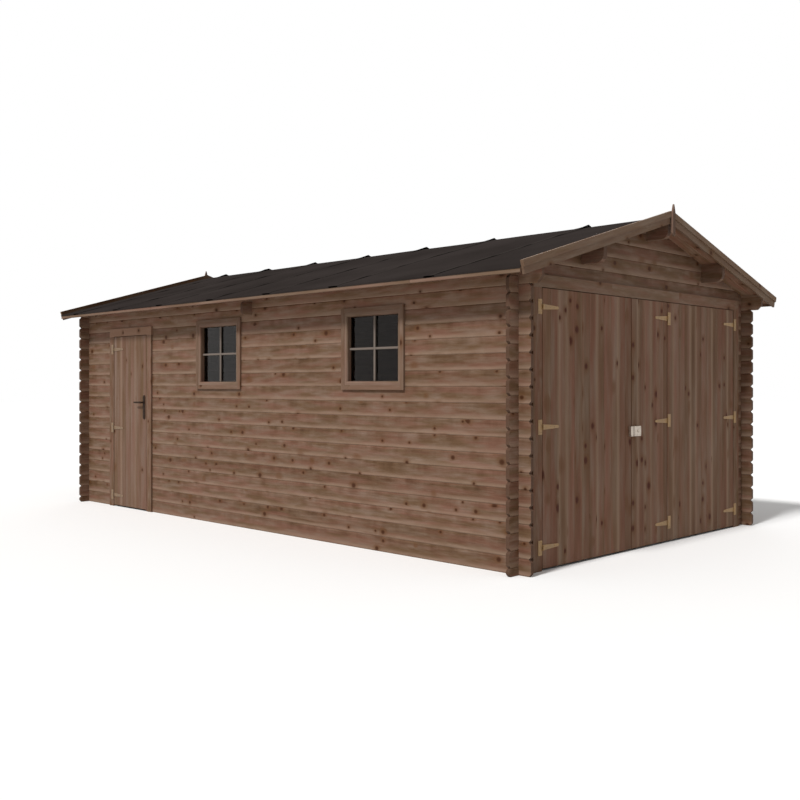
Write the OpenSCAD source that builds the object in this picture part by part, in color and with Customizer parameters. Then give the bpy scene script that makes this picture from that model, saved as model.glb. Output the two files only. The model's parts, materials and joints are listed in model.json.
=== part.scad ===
// Log garage with three front door leaves, a side door and two windows.
// Millimetres. +Z is up, the ground is z = 0, the front gable faces -Y.
// The origin is the middle of the plan, on the ground.

/* [Logs] */
// Height of one course of wall logs
course = 114; // [100:1:130]
// Thickness of the wall logs
log_t = 28; // [22:1:45]
// Number of full courses below the plate log
courses = 17; // [17:1:20]
// How far each log runs on past the outer face of the wall it crosses
log_end = 101; // [60:1:140]
// Size of the corners cut off the log ends
end_cut = 19; // [8:1:26]
// Height of the small chamfer along each log edge
edge_h = 7; // [3:1:12]
// Depth of the small chamfer along each log edge
edge_d = 4; // [2:0.5:6]

/* [Plan] */
// Outer width over the two side walls
width = 3305; // [3100:5:3600]
// Outer length over the two gable walls
length = 5894; // [5500:5:6500]

/* [Roof] */
// Slope of the roof in degrees
slope = 16.27; // [12:0.01:22]
// Height of the roof boards above the last full course line at the wall face
bearing = 14; // [8:1:30]
// Overhang of the roof past the side walls
eave_over = 232; // [180:1:300]
// Overhang of the barge trims past the front gable wall
front_over = 215; // [190:1:270]
// Overhang of the barge trims past the rear gable wall
rear_over = 175; // [160:1:240]
// Thickness of the roof boards
board_t = 20; // [16:1:28]
// Thickness of the roofing felt
felt_t = 3; // [2:0.5:5]
// How far the felt turns down over the board edge
felt_drop = 10; // [8:1:16]
// Height of the eave strip
strip_h = 36; // [24:1:45]
// Thickness of the eave strip
strip_t = 18; // [12:1:24]

/* [Barge boards] */
// Depth of the barge boards, measured upright
barge_h = 97; // [80:1:130]
// Thickness of the barge boards
barge_t = 16; // [12:1:24]
// Height of the barge boards above the underside of the roof boards
barge_up = 62; // [45:1:75]
// Depth of the trim along the top of the barge boards, measured upright
trim_h = 46; // [30:1:60]
// Thickness of that trim
trim_t = 10; // [8:1:22]
// Width of the finials
finial_w = 64; // [40:1:90]
// Width of the finials at the foot of the point
finial_neck = 26; // [16:1:36]
// Thickness of the finials
finial_t = 18; // [12:1:24]
// Height of the finial point above the barge boards
finial_up = 51; // [30:1:90]
// Length of the finials below the top of the barge boards
finial_down = 200; // [110:1:240]

/* [Purlins] */
// Thickness of the purlins
purlin_t = 44; // [34:1:60]
// Depth of the purlins
purlin_h = 150; // [110:1:180]
// Distance of the side purlins from the middle
purlin_x = 900; // [700:5:1050]
// Radius of the round corner under the purlin ends
purlin_r = 55; // [30:1:80]
// Width of the posts that stand on the middle tie log
king_w = 160; // [100:5:240]

/* [Garage door] */
// Length of the front wall between its corner and the garage doorway
garage_side = 153.5; // [110:0.5:220]
// How far frames lap over the logs
clasp = 25; // [15:1:30]
// Width of the garage door posts
post_w = 99; // [70:1:115]
// Height of the garage door head
head_h = 86; // [60:1:100]
// Stand-out of the garage door frame from the logs
garage_proud = 24; // [8:1:34]
// Width of the left leaf
leaf_left = 1132; // [1000:1:1250]
// Width of the narrow middle leaf
leaf_mid = 532; // [400:1:700]
// Gap around the door leaves
door_gap = 8; // [7:0.5:10]
// Height of the leaves above the ground
leaf_up = 15; // [10:1:30]
// Thickness of the door boards
leaf_t = 20; // [16:1:24]
// Thickness of the ledges and braces behind the door boards
ledge_t = 20; // [16:1:26]
// Height of the ledges
ledge_h = 95; // [70:1:120]
// Distance of the bottom hinges from the lower end of the leaves
hinge_low = 145; // [110:1:220]
// Distance of the top hinges from the upper end of the leaves
hinge_high = 126; // [110:1:220]

/* [Side door] */
// Distance from the rear gable's outer face to the side doorway
side_from_rear = 534; // [400:2:700]
// Width of the side doorway in the logs
side_w = 767; // [740:1:860]
// Number of courses that the side doorway is high
side_rows = 16; // [15:1:16]
// Width of the side door posts
side_post = 85; // [70:1:95]
// Height of the side door head
side_head = 80; // [60:1:90]
// Distance of the side door's bottom hinge from the lower end of the leaf
side_hinge_low = 103; // [90:1:200]
// Height of the side door's middle hinge above the ground
side_hinge_mid = 820; // [700:5:950]
// Distance of the side door's top hinge from the upper end of the leaf
side_hinge_high = 125; // [100:1:200]
// Stand-out of the side door frame and the window frames from the logs
side_proud = 18; // [12:1:26]

/* [Windows] */
// Course line where the windows start
window_row = 11; // [9:1:12]
// Width of the window openings in the logs
window_w = 639; // [560:1:700]
// Place of the rear window's middle along the wall
window_rear_y = 484; // [400:2:600]
// Place of the front window's middle along the wall
window_front_y = -1547; // [-1700:1:-1400]
// How far the windows are let into the log above them
window_notch = 17; // [0:1:30]
// Width of the window casings
casing_w = 36; // [32:1:50]
// Width of the window sashes
sash_w = 30; // [24:1:40]
// Depth of the window sashes
sash_d = 58; // [36:1:62]
// Thickness of the glass
glass_t = 4; // [3:0.5:6]
// Depth of the groove that holds the glass
glass_in = 7; // [5:1:10]

/* [Ironwork] */
// Length of the hinge straps
strap_l = 185; // [140:5:300]
// Height of the hinge straps at the pin
strap_w = 38; // [30:1:46]
// Height of the hinge straps at the tip
strap_tip = 20; // [14:1:28]
// Thickness of the hinge straps and plates
iron_t = 3; // [2:0.5:4]
// Height of the hinge plates
plate_h = 102; // [80:1:130]
// Width of the hinge plates
plate_w = 44; // [22:1:50]
// Radius of the hinge knuckles
knuckle_r = 6; // [5:0.5:7]
// Radius of the hinge pins
pin_r = 3; // [2:0.5:4]
// Clearance of the hinge pins in their knuckles
pin_gap = 0.08; // [0.05:0.01:0.1]
// Height of the handle plate
handle_h = 240; // [180:5:260]
// Width of the handle plate
handle_w = 42; // [28:1:46]
// Thickness of the handle plate
handle_t = 7; // [4:1:10]
// Height of the handle plate's lower end above the ground
handle_z = 922; // [800:2:1000]
// Distance of the handle from the edge of the leaf
handle_in = 34; // [26:1:50]
// Height of the lever's axis above the foot of the handle plate
lever_z = 168; // [120:2:200]
// Length of the lever
lever_l = 130; // [90:2:150]
// Radius of the lever
lever_r = 10; // [7:0.5:11]
// Distance of the lever from the handle plate
lever_off = 36; // [26:1:50]
// Height of the middle of the garage lock above the ground
lock_z = 913; // [800:1:1050]
// Width of the garage lock
lock_w = 100; // [60:1:130]
// Height of the garage lock
lock_h = 78; // [60:1:110]
// Thickness of the garage lock
lock_t = 23; // [10:1:30]
// Width of the keep on the left leaf
keep_w = 34; // [16:1:44]

/* [Hidden] */
$fn = 48;
// Gap between pieces that bear on each other
seat = 0.3;
// How far shapes run into one another, or past what they cut
over = 1;
// Extra length of the larger cutting shapes
spare = 10;
half_w = width / 2;
half_l = length / 2;
tan_s = tan(slope);
plate_bottom = courses * course;
wall_top = plate_bottom + course;
gable_foot = (courses + 0.5) * course;
ridge_x = half_w + eave_over;
roof_front = half_l + front_over - trim_t - barge_t;
roof_rear = half_l + rear_over - trim_t - barge_t;
// The walls stand this far behind the middle of the roof.
wall_y = (front_over - rear_over) / 2;
board_up = board_t / cos(slope);
felt_up = felt_t / cos(slope);
ridge_under = wall_top + bearing + half_w * tan_s;
wood = "#8a6650";
dark_wood = "#75563f";
iron = "#c9a45c";
purlin_foot = ridge_under - purlin_h;
side_purlin_foot = ridge_under - purlin_x * tan_s - purlin_h;
purlin_front = roof_front - seat;
purlin_rear = roof_rear - seat;
frame_in = 20;
stop_d = 16;
stop_gap = 6;
stop_v = leaf_t + ledge_t + stop_gap;
garage_half = half_w - garage_side;
post_out = garage_half + clasp;
clear_half = post_out - post_w;
head_top = gable_foot + clasp;
head_bottom = head_top - head_h;
leaf_top = head_bottom - door_gap;
left_x0 = -clear_half + door_gap;
left_x1 = left_x0 + leaf_left;
mid_x0 = left_x1 + door_gap;
mid_x1 = mid_x0 + leaf_mid;
right_x0 = mid_x1 + door_gap;
right_x1 = clear_half - door_gap;
garage_face = -half_l - garage_proud;
pin_air = 2;
pin_off = knuckle_r + pin_air;
side_y1 = half_l - side_from_rear;
side_y0 = side_y1 - side_w;
side_top = side_rows * course;
side_out0 = side_y0 - clasp;
side_out1 = side_y1 + clasp;
side_clear0 = side_out0 + side_post;
side_clear1 = side_out1 - side_post;
side_head_top = side_top + clasp;
side_head_bottom = side_head_top - side_head;
side_leaf_top = side_head_bottom - door_gap;
side_leaf0 = side_clear0 + door_gap;
side_leaf1 = side_clear1 - door_gap;
side_face = -half_w - side_proud;
window_z0 = window_row * course;
window_z1 = side_top + window_notch;
rear_w0 = window_rear_y - window_w / 2;
rear_w1 = window_rear_y + window_w / 2;
front_w0 = window_front_y - window_w / 2;
front_w1 = window_front_y + window_w / 2;
knuckle_h = strap_w / 3;
sash_v = 2;
glass_back = 12;
// Share of the lock's width at which its key cylinder sits
key_share = 0.6;
rose_edge = 2;
key_r = 6;
key_below = 92;
key_t = 3;
brace_w = 90;
brace_in = 12;

// Height of the underside of the roof boards at a distance x from the middle.
function under(x) = ridge_under - abs(x) * tan_s;
// Course lines of a side wall, which starts with a whole log.
function side_lines(a, b) = [for (k = [a:b]) k * course];
// Course lines of a gable wall, which starts with half a log.
function gable_lines(top) = [0, for (k = [0:courses]) (k + 0.5) * course, each top];

// Cross section of stacked logs, chamfered along every course line.
module log_section(lines) {
  n = len(lines) - 1;
  right = [for (i = [0:n - 1]) each [
    [log_t / 2 - edge_d, lines[i]],
    [log_t / 2, lines[i] + edge_h],
    [log_t / 2, lines[i + 1] - edge_h],
    [log_t / 2 - edge_d, lines[i + 1]]
  ]];
  left = [for (i = [len(right) - 1:-1:0]) [-right[i][0], right[i][1]]];
  polygon(concat(right, left));
}

// Corner cuts at one upright row of log ends.
module end_cuts(u, lines) {
  for (z = lines)
    translate([u, z])
      rotate(45)
        square(end_cut * sqrt(2), center = true);
}

// Log stack along Y in the left wall: side elevation given as children in (y, z).
module side_stack(lines) {
  translate([-half_w + log_t / 2, 0, 0])
    intersection() {
      rotate([90, 0, 0])
        linear_extrude(height = length + 4 * log_end + 4 * front_over, center = true)
          log_section(lines);
      rotate([90, 0, 90])
        linear_extrude(height = log_t + spare, center = true)
          children();
    }
}

// Log stack along X in the front wall: front elevation given as children in (x, z).
module gable_stack(lines) {
  translate([0, -half_l + log_t / 2, 0])
    intersection() {
      rotate([90, 0, 90])
        linear_extrude(height = width + 4 * log_end, center = true)
          log_section(lines);
      rotate([90, 0, 0])
        linear_extrude(height = log_t + spare, center = true)
          children();
    }
}

// Half laps in the side logs where the gable logs cross them.
module side_laps(y, a, b) {
  for (k = [a:b])
    translate([y - log_t / 2 - seat, (k - 0.25) * course - seat / 2])
      square([log_t + 2 * seat, course / 2 + seat]);
}

// Half laps in the gable logs where the side logs cross them.
module gable_laps(x, a, b) {
  for (k = [a:b])
    translate([x - log_t / 2 - seat, (k + 0.25) * course - seat / 2])
      square([log_t + 2 * seat, course / 2 + seat]);
}

cross_y = half_l - log_t / 2;
cross_x = half_w - log_t / 2;
end_y = half_l + log_end;
end_x = half_w + log_end;

windows = [[rear_w0, rear_w1], [front_w0, front_w1]];

module upright(u0, u1, z0, z1) {
  translate([u0, z0])
    square([u1 - u0, z1 - z0]);
}

module left_wall_rear() {
  color(wood)
    side_stack(side_lines(0, side_rows))
      difference() {
        upright(side_y1, end_y, 0, side_top);
        end_cuts(end_y, side_lines(0, side_rows));
        side_laps(cross_y, 0, side_rows);
      }
}

module left_wall_low() {
  color(wood)
    side_stack(side_lines(0, window_row))
      difference() {
        upright(-end_y, side_y0, 0, window_z0);
        end_cuts(-end_y, side_lines(0, window_row));
        side_laps(-cross_y, 0, window_row);
      }
}

module left_wall_door_pier() {
  color(wood)
    side_stack(side_lines(window_row, side_rows))
      upright(rear_w1, side_y0, window_z0, side_top);
}

module left_wall_middle_pier() {
  color(wood)
    side_stack(side_lines(window_row, side_rows))
      upright(front_w1, rear_w0, window_z0, side_top);
}

module left_wall_front_pier() {
  color(wood)
    side_stack(side_lines(window_row, side_rows))
      difference() {
        upright(-end_y, front_w0, window_z0, side_top);
        end_cuts(-end_y, side_lines(window_row, side_rows));
        side_laps(-cross_y, window_row, side_rows);
      }
}

// Courses that run the whole length over the side door and the windows.
module left_wall_top() {
  color(wood)
    side_stack(side_lines(side_rows, courses))
      difference() {
        upright(-end_y, end_y, side_top, plate_bottom);
        end_cuts(-end_y, side_lines(side_rows, courses));
        end_cuts(end_y, side_lines(side_rows, courses));
        side_laps(-cross_y, side_rows, courses);
        side_laps(cross_y, side_rows, courses);
        tie_lap();
        for (w = windows)
          upright(w[0], w[1], side_top - over, window_z1);
      }
}

// Lap where the middle tie log crosses the side walls.
module tie_lap() {
  upright(-log_t / 2 - seat, log_t / 2 + seat, plate_bottom - course / 4 - seat / 2,
    plate_bottom + course / 4 + seat / 2);
}

// Top log of a side wall: bevelled to the roof, and long enough to carry the barge boards.
module plate_log() {
  side_top_z = under(half_w) - seat;
  inner_top_z = under(half_w - log_t) - seat;
  intersection() {
    translate([-half_w, 0, 0])
      rotate([90, 0, 0])
        linear_extrude(height = 4 * half_l, center = true)
          polygon([
            [edge_d, plate_bottom],
            [log_t - edge_d, plate_bottom],
            [log_t, plate_bottom + edge_h],
            [log_t, inner_top_z],
            [0, side_top_z],
            [0, plate_bottom + edge_h]
          ]);
    translate([-half_w + log_t / 2, 0, 0])
      rotate([90, 0, 90])
        linear_extrude(height = log_t + spare, center = true)
          difference() {
            upright(-purlin_front, purlin_rear, plate_bottom, inner_top_z + spare);
            for (y = [-purlin_front, purlin_rear])
              translate([y, plate_bottom])
                rotate(45)
                  square(end_cut * 3, center = true);
            for (y = [-cross_y, cross_y]) {
              upright(y - log_t / 2 - seat, y + log_t / 2 + seat, plate_bottom - over,
                plate_bottom + course / 4 + seat / 2);
              upright(y - log_t / 2 - seat, y + log_t / 2 + seat,
                plate_bottom + 0.75 * course - seat / 2, inner_top_z + 2 * spare);
            }
            tie_lap();
          }
  }
}

module left_plate_log() {
  color(wood)
    plate_log();
}

module right_plate_log() {
  color(wood)
    mirror([1, 0, 0])
      plate_log();
}

module right_wall() {
  color(wood)
    mirror([1, 0, 0])
      side_stack(side_lines(0, courses))
        difference() {
          upright(-end_y, end_y, 0, plate_bottom);
          for (y = [-1, 1]) {
            end_cuts(y * end_y, side_lines(0, courses));
            side_laps(y * cross_y, 0, courses);
          }
          tie_lap();
        }
}

// Short logs between a corner and the garage door opening, on the left.
module front_wall_side() {
  gable_stack(gable_lines([]))
    difference() {
      upright(-end_x, -garage_half, 0, gable_foot);
      end_cuts(-end_x, gable_lines([]));
      gable_laps(-cross_x, 0, courses);
    }
}

module front_wall_left() {
  color(wood)
    front_wall_side();
}

module front_wall_right() {
  color(wood)
    mirror([1, 0, 0])
      front_wall_side();
}

// Course lines of the gable triangle.
gable_rows = ceil((ridge_under - gable_foot) / course);
gable_top_lines = [for (k = [0:gable_rows]) gable_foot + k * course];

// Slots in a gable where the purlins pass through it.
module purlin_slots() {
  upright(-purlin_t / 2 - seat, purlin_t / 2 + seat, purlin_foot - seat, ridge_under + spare);
  for (x = [-purlin_x, purlin_x])
    upright(x - purlin_t / 2 - seat, x + purlin_t / 2 + seat, side_purlin_foot - seat,
      ridge_under + spare);
}

// Front elevation of the gable triangle, cut to the roof.
module gable_outline(foot) {
  difference() {
    polygon([
      [-end_x, foot],
      [end_x, foot],
      [end_x, under(end_x) - seat],
      [0, ridge_under - seat],
      [-end_x, under(end_x) - seat]
    ]);
    purlin_slots();
  }
}

module front_gable() {
  color(wood)
    gable_stack(gable_top_lines)
      difference() {
        gable_outline(gable_foot);
        for (x = [-1, 1]) {
          end_cuts(x * end_x, [gable_foot]);
          gable_laps(x * cross_x, courses, courses);
        }
      }
}

module rear_wall() {
  color(wood)
    mirror([0, 1, 0])
      gable_stack(gable_lines([for (k = [1:gable_rows]) gable_foot + k * course]))
        difference() {
          gable_outline(0);
          for (x = [-1, 1]) {
            end_cuts(x * end_x, gable_lines([]));
            gable_laps(x * cross_x, 0, courses);
          }
        }
}

// Tie log across the middle with a post under each purlin.
module middle_truss() {
  tie_foot = plate_bottom - course / 2;
  color(wood)
    intersection() {
      rotate([90, 0, 90])
        linear_extrude(height = 2 * end_x + 2 * over, center = true)
          log_section([for (k = [0:gable_rows + 1]) tie_foot + k * course]);
      rotate([90, 0, 0])
        linear_extrude(height = log_t + spare, center = true)
          difference() {
            union() {
              upright(-end_x, end_x, tie_foot, gable_foot);
              upright(-king_w / 2, king_w / 2, gable_foot + seat, purlin_foot - seat);
              for (x = [-purlin_x, purlin_x])
                upright(x - king_w / 2, x + king_w / 2, gable_foot + seat, side_purlin_foot - seat);
            }
            for (x = [-1, 1]) {
              end_cuts(x * end_x, [tie_foot, gable_foot]);
              upright(x * cross_x - log_t / 2 - seat, x * cross_x + log_t / 2 + seat,
                tie_foot - over, tie_foot + course / 4 + seat / 2);
              upright(x * cross_x - log_t / 2 - seat, x * cross_x + log_t / 2 + seat,
                gable_foot - course / 4 - seat / 2, gable_foot + over);
            }
          }
    }
}

// Side elevation of a purlin with its lower front and rear corners rounded.
module purlin_outline(foot) {
  difference() {
    upright(-purlin_front, purlin_rear, foot, ridge_under);
    for (y = [-purlin_front, purlin_rear])
      translate([y, foot])
        square(2 * purlin_r, center = true);
  }
  for (y = [-purlin_front + purlin_r, purlin_rear - purlin_r])
    translate([y, foot + purlin_r])
      circle(r = purlin_r);
}

// A purlin: its cross section is given as children.
module purlin(foot) {
  intersection() {
    rotate([90, 0, 0])
      linear_extrude(height = 4 * half_l, center = true)
        children();
    rotate([90, 0, 90])
      linear_extrude(height = 4 * purlin_x, center = true)
        purlin_outline(foot);
  }
}

module ridge_purlin() {
  edge = under(purlin_t / 2) - seat;
  color(wood)
    purlin(purlin_foot)
      polygon([
        [-purlin_t / 2, purlin_foot],
        [purlin_t / 2, purlin_foot],
        [purlin_t / 2, edge],
        [0, ridge_under - seat],
        [-purlin_t / 2, edge]
      ]);
}

module side_purlins() {
  inner = purlin_x - purlin_t / 2;
  outer = purlin_x + purlin_t / 2;
  color(wood)
    for (s = [-1, 1])
      purlin(side_purlin_foot)
        polygon([
          [s * inner, side_purlin_foot],
          [s * outer, side_purlin_foot],
          [s * outer, under(outer) - seat],
          [s * inner, under(inner) - seat]
        ]);
}

// Carries a cross section from the front barge boards to the rear ones.
module along_roof() {
  translate([0, roof_rear, 0])
    rotate([90, 0, 0])
      linear_extrude(height = roof_front + roof_rear)
        children();
}

// Boards of the left roof side.
module roof_side() {
  edge = ridge_x - strip_t - seat;
  along_roof()
    polygon([
      [-edge, under(edge)],
      [-seat / 2, under(seat / 2)],
      [-seat / 2, under(seat / 2) + board_up],
      [-edge, under(edge) + board_up]
    ]);
}

module left_roof_boards() {
  color(dark_wood)
    roof_side();
}

module right_roof_boards() {
  color(dark_wood)
    mirror([1, 0, 0])
      roof_side();
}

// Felt over both roof sides, turned down at the eaves.
module roof_felt() {
  lift = board_up + seat;
  out = ridge_x + felt_t;
  color("#3a3a3c")
    along_roof()
      polygon([
        [0, ridge_under + lift + felt_up],
        [out, under(out) + lift + felt_up],
        [out, under(out) + lift - felt_drop],
        [ridge_x + seat, under(out) + lift - felt_drop],
        [ridge_x + seat, under(ridge_x + seat) + lift],
        [0, ridge_under + lift],
        [-ridge_x - seat, under(ridge_x + seat) + lift],
        [-ridge_x - seat, under(out) + lift - felt_drop],
        [-out, under(out) + lift - felt_drop],
        [-out, under(out) + lift + felt_up]
      ]);
}

module eave_strips() {
  top = under(ridge_x) + board_up;
  color("#a4876b")
    along_roof()
      for (s = [-1, 1])
        translate([s * (ridge_x - strip_t / 2), top - strip_h / 2])
          square([strip_t, strip_h], center = true);
}

// One sloping board of the gable edge, from the middle line to its square-cut eave end.
module sloping_board(top, h, y0, t) {
  end = ridge_x;
  foot = end - h * cos(slope) * sin(slope);
  translate([0, y0 + t, 0])
    rotate([90, 0, 0])
      linear_extrude(height = t)
        polygon([
          [seat, top - seat * tan_s],
          [end, top - end * tan_s],
          [foot, top - foot * tan_s - h],
          [seat, top - seat * tan_s - h]
        ]);
}

// Left and right barge boards of a gable, each with its trim.
module barge_pair(overhang) {
  top = ridge_under + barge_up;
  y0 = -half_l - overhang;
  for (s = [0, 1])
    mirror([s, 0, 0]) {
      sloping_board(top, barge_h, y0 + trim_t, barge_t);
      sloping_board(top, trim_h, y0, trim_t + over);
    }
}

module front_barge_boards() {
  color(wood)
    barge_pair(front_over);
}

module rear_barge_boards() {
  color(wood)
    mirror([0, 1, 0])
      barge_pair(rear_over);
}

// Pointed board that covers the joint of the barge boards.
module finial(overhang) {
  top = ridge_under + barge_up;
  half = finial_w / 2;
  neck = finial_neck / 2;
  translate([0, -half_l - overhang - seat, 0])
    rotate([90, 0, 0])
      linear_extrude(height = finial_t)
        polygon([
          [-half, top - finial_down + half],
          [0, top - finial_down],
          [half, top - finial_down + half],
          [half, top - half],
          [1.5 * neck, top - half / 3],
          [neck, top + half / 3],
          [0, top + finial_up],
          [-neck, top + half / 3],
          [-1.5 * neck, top - half / 3],
          [-half, top - half]
        ]);
}

module finials() {
  color(wood) {
    finial(front_over);
    mirror([0, 1, 0])
      finial(rear_over);
  }
}

// Plan of a door post: opening at u = 0, outer face at v = 0, with a stop behind the leaf.
module post_plan(w, depth) {
  square([w, depth]);
  translate([-stop_d, stop_v])
    square([stop_d + over, depth - stop_v]);
}

// Head of a door frame from u0 to u1, with its stop between the stops of the posts.
module frame_head(u0, u1, w, h, depth) {
  translate([u0 - w, 0, 0])
    cube([u1 - u0 + 2 * w, depth, h]);
  translate([u0 + stop_d + seat, stop_v, -stop_d])
    cube([u1 - u0 - 2 * (stop_d + seat), depth - stop_v, stop_d + over]);
}

// Door frame that clasps the logs: two posts and a head around u0 to u1, v runs inwards.
module door_frame(u0, u1, w, head_z, head, proud) {
  depth = proud + log_t + frame_in;
  difference() {
    union() {
      for (s = [0, 1])
        translate([s * (u0 + u1), 0, 0])
          mirror([s, 0, 0])
            translate([u1, 0, 0])
              linear_extrude(height = head_z - head - seat)
                post_plan(w, depth);
      translate([0, 0, head_z - head])
        frame_head(u0, u1, w, head, depth);
    }
    difference() {
      translate([u0 - w - over, proud - seat, -over])
        cube([u1 - u0 + 2 * (w + over), log_t + 2 * seat, head_z + 2 * over]);
      translate([u0 - w + clasp + seat, 0, -2])
        cube([u1 - u0 + 2 * (w - clasp - seat), depth, head_z - clasp - seat + 2 * over]);
    }
  }
}

module garage_door_frame() {
  color(wood)
    translate([0, garage_face, 0])
      door_frame(-clear_half, clear_half, post_w, head_top, head_h, garage_proud);
}

// Boarded leaf with ledges at the heights zs and two braces, outer face at v = 0.
module leaf(u0, u1, z0, z1, zs, hinge_side) {
  w = u1 - u0;
  translate([u0, 0, z0])
    cube([w, leaf_t, z1 - z0]);
  for (z = zs)
    translate([u0 + brace_in, leaf_t - over, z - ledge_h / 2])
      cube([w - 2 * brace_in, ledge_t + over, ledge_h]);
  for (i = [0, 1]) {
    low = zs[i] + ledge_h / 2 - over;
    high = zs[i + 1] - ledge_h / 2 + over;
    a = hinge_side < 0 ? u0 + brace_in : u1 - brace_in;
    b = hinge_side < 0 ? u1 - brace_in : u0 + brace_in;
    d = hinge_side < 0 ? brace_w : -brace_w;
    translate([0, leaf_t + ledge_t, 0])
      rotate([90, 0, 0])
        linear_extrude(height = ledge_t + over)
          polygon([[a, low], [a + d, low], [b, high], [b - d, high]]);
  }
}

// Heights of the three hinges of the garage leaves and of the side door.
garage_low = leaf_up + hinge_low;
garage_high = leaf_top - hinge_high;
garage_hinges = [garage_low, (garage_low + garage_high) / 2, garage_high];
side_hinges = [leaf_up + side_hinge_low, side_hinge_mid, side_leaf_top - side_hinge_high];

module garage_left_leaf() {
  color(wood)
    translate([0, garage_face, 0])
      leaf(left_x0, left_x1, leaf_up, leaf_top, garage_hinges, -1);
}

module garage_narrow_leaf() {
  color(wood)
    translate([0, garage_face, 0])
      leaf(mid_x0, mid_x1, leaf_up, leaf_top, garage_hinges, 1);
}

module garage_right_leaf() {
  color(wood)
    translate([0, garage_face, 0])
      leaf(right_x0, right_x1, leaf_up, leaf_top, garage_hinges, 1);
}

// Strap of a hinge that turns on a pin at u = 0, lying on the face at v = 0 and pointing to +u.
module strap() {
  reach = door_gap / 2 + pin_air;
  difference() {
    union() {
      translate([reach, 0, 0])
        rotate([90, 0, 0])
          linear_extrude(height = iron_t)
            polygon([
              [0, -strap_w / 2],
              [strap_l - strap_tip / 2, -strap_tip / 2],
              [strap_l, 0],
              [strap_l - strap_tip / 2, strap_tip / 2],
              [0, strap_w / 2]
            ]);
      translate([0, -pin_off, -knuckle_h / 2])
        cylinder(r = knuckle_r, h = knuckle_h);
      translate([0, -pin_off, -knuckle_h / 2])
        cube([reach + over, iron_t, knuckle_h]);
      translate([reach, -pin_off, -knuckle_h / 2])
        cube([iron_t, pin_off, knuckle_h]);
    }
    translate([0, -pin_off, -knuckle_h])
      cylinder(r = pin_r + pin_gap, h = 2 * knuckle_h);
  }
}

// Plate of a hinge with its two outer knuckles and the pin, pointing to -u.
module hinge_plate() {
  reach = door_gap / 2 + pin_air;
  translate([-reach - plate_w, -iron_t, -plate_h / 2])
    cube([plate_w, iron_t, plate_h]);
  for (s = [0, 1])
    mirror([0, 0, s])
      translate([0, -pin_off, knuckle_h / 2 + seat]) {
        cylinder(r = knuckle_r, h = knuckle_h);
        translate([-reach - over, 0, 0])
          cube([reach + over, iron_t, knuckle_h]);
        translate([-reach - iron_t, 0, 0])
          cube([iron_t, pin_off, knuckle_h]);
      }
  translate([0, -pin_off, -1.5 * knuckle_h])
    cylinder(r = pin_r, h = 3 * knuckle_h);
}

// Children at the three hinge heights of a garage leaf, on the outer face at x.
module at_garage_hinges(x, flip) {
  for (z = garage_hinges)
    translate([x, garage_face - seat / 3, z])
      mirror([flip, 0, 0])
        children();
}

pin_left = left_x0 - door_gap / 2;
pin_right = right_x1 + door_gap / 2;
pin_mid = right_x0 - door_gap / 2;

module garage_hinge_plates() {
  color(iron) {
    at_garage_hinges(pin_left, 0)
      hinge_plate();
    at_garage_hinges(pin_right, 1)
      hinge_plate();
  }
}

module garage_left_straps() {
  color(iron)
    at_garage_hinges(pin_left, 0)
      strap();
}

// Straps of the right leaf, and the plates that carry the narrow leaf.
module garage_right_straps() {
  color(iron) {
    at_garage_hinges(pin_right, 1)
      strap();
    at_garage_hinges(pin_mid, 1)
      hinge_plate();
  }
}

module garage_narrow_straps() {
  color(iron)
    at_garage_hinges(pin_mid, 1)
      strap();
}

module garage_lock() {
  edge = 1;
  cyl_r = 12;
  cyl_h = 5;
  color("#b9bbbd")
    translate([mid_x0 + edge, garage_face - seat / 3, lock_z]) {
      translate([0, -lock_t, -lock_h / 2])
        cube([lock_w, lock_t, lock_h]);
      translate([lock_w * key_share, -lock_t, 0])
        rotate([90, 0, 0])
          cylinder(r = cyl_r, h = cyl_h);
    }
}

module garage_lock_keep() {
  edge = 1;
  color("#b9bbbd")
    translate([left_x1 - edge - keep_w, garage_face - seat / 3 - lock_t, lock_z - lock_h / 2])
      cube([keep_w, lock_t, lock_h]);
}

// Turns things made with u along +Y and v inwards onto the left wall's outer face.
module on_left_wall() {
  translate([side_face, 0, 0])
    mirror([1, 0, 0])
      rotate([0, 0, 90])
        children();
}

module side_door_frame() {
  color(wood)
    on_left_wall()
      door_frame(side_clear0, side_clear1, side_post, side_head_top, side_head, side_proud);
}

module side_door_leaf() {
  color(wood)
    on_left_wall()
      leaf(side_leaf0, side_leaf1, leaf_up, side_leaf_top, side_hinges, 1);
}

// Children at the three hinge heights of the side door.
module at_side_hinges() {
  for (z = side_hinges)
    on_left_wall()
      translate([side_leaf1 + door_gap / 2, -seat / 3, z])
        mirror([1, 0, 0])
          children();
}

module side_hinge_plates() {
  color(iron)
    at_side_hinges()
      hinge_plate();
}

module side_door_straps() {
  color(iron)
    at_side_hinges()
      strap();
}

module side_handle_plate() {
  color("#2a2826")
    on_left_wall()
      translate([side_leaf0 + handle_in, -seat / 3, handle_z]) {
        translate([-handle_w / 2, -handle_t, handle_w / 2])
          cube([handle_w, handle_t, handle_h - handle_w]);
        for (z = [handle_w / 2, handle_h - handle_w / 2])
          translate([0, 0, z])
            rotate([90, 0, 0])
              cylinder(r = handle_w / 2, h = handle_t);
        translate([0, 0, lever_z - key_below])
          rotate([90, 0, 0])
            cylinder(r = key_r, h = handle_t + key_t);
      }
}

// Lever that turns in the handle plate and points towards the hinges.
module side_lever() {
  color("#2a2826")
    on_left_wall()
      translate([side_leaf0 + handle_in, -seat / 3 - handle_t - seat, handle_z + lever_z]) {
        rotate([90, 0, 0])
          cylinder(r = lever_r + rose_edge, h = lever_off + lever_r - rose_edge);
        translate([0, -lever_off, 0])
          rotate([0, 90, 0])
            cylinder(r = lever_r, h = lever_l);
        translate([0, -lever_off, 0])
          sphere(r = lever_r);
        translate([lever_l, -lever_off, 0])
          sphere(r = lever_r);
      }
}

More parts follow.
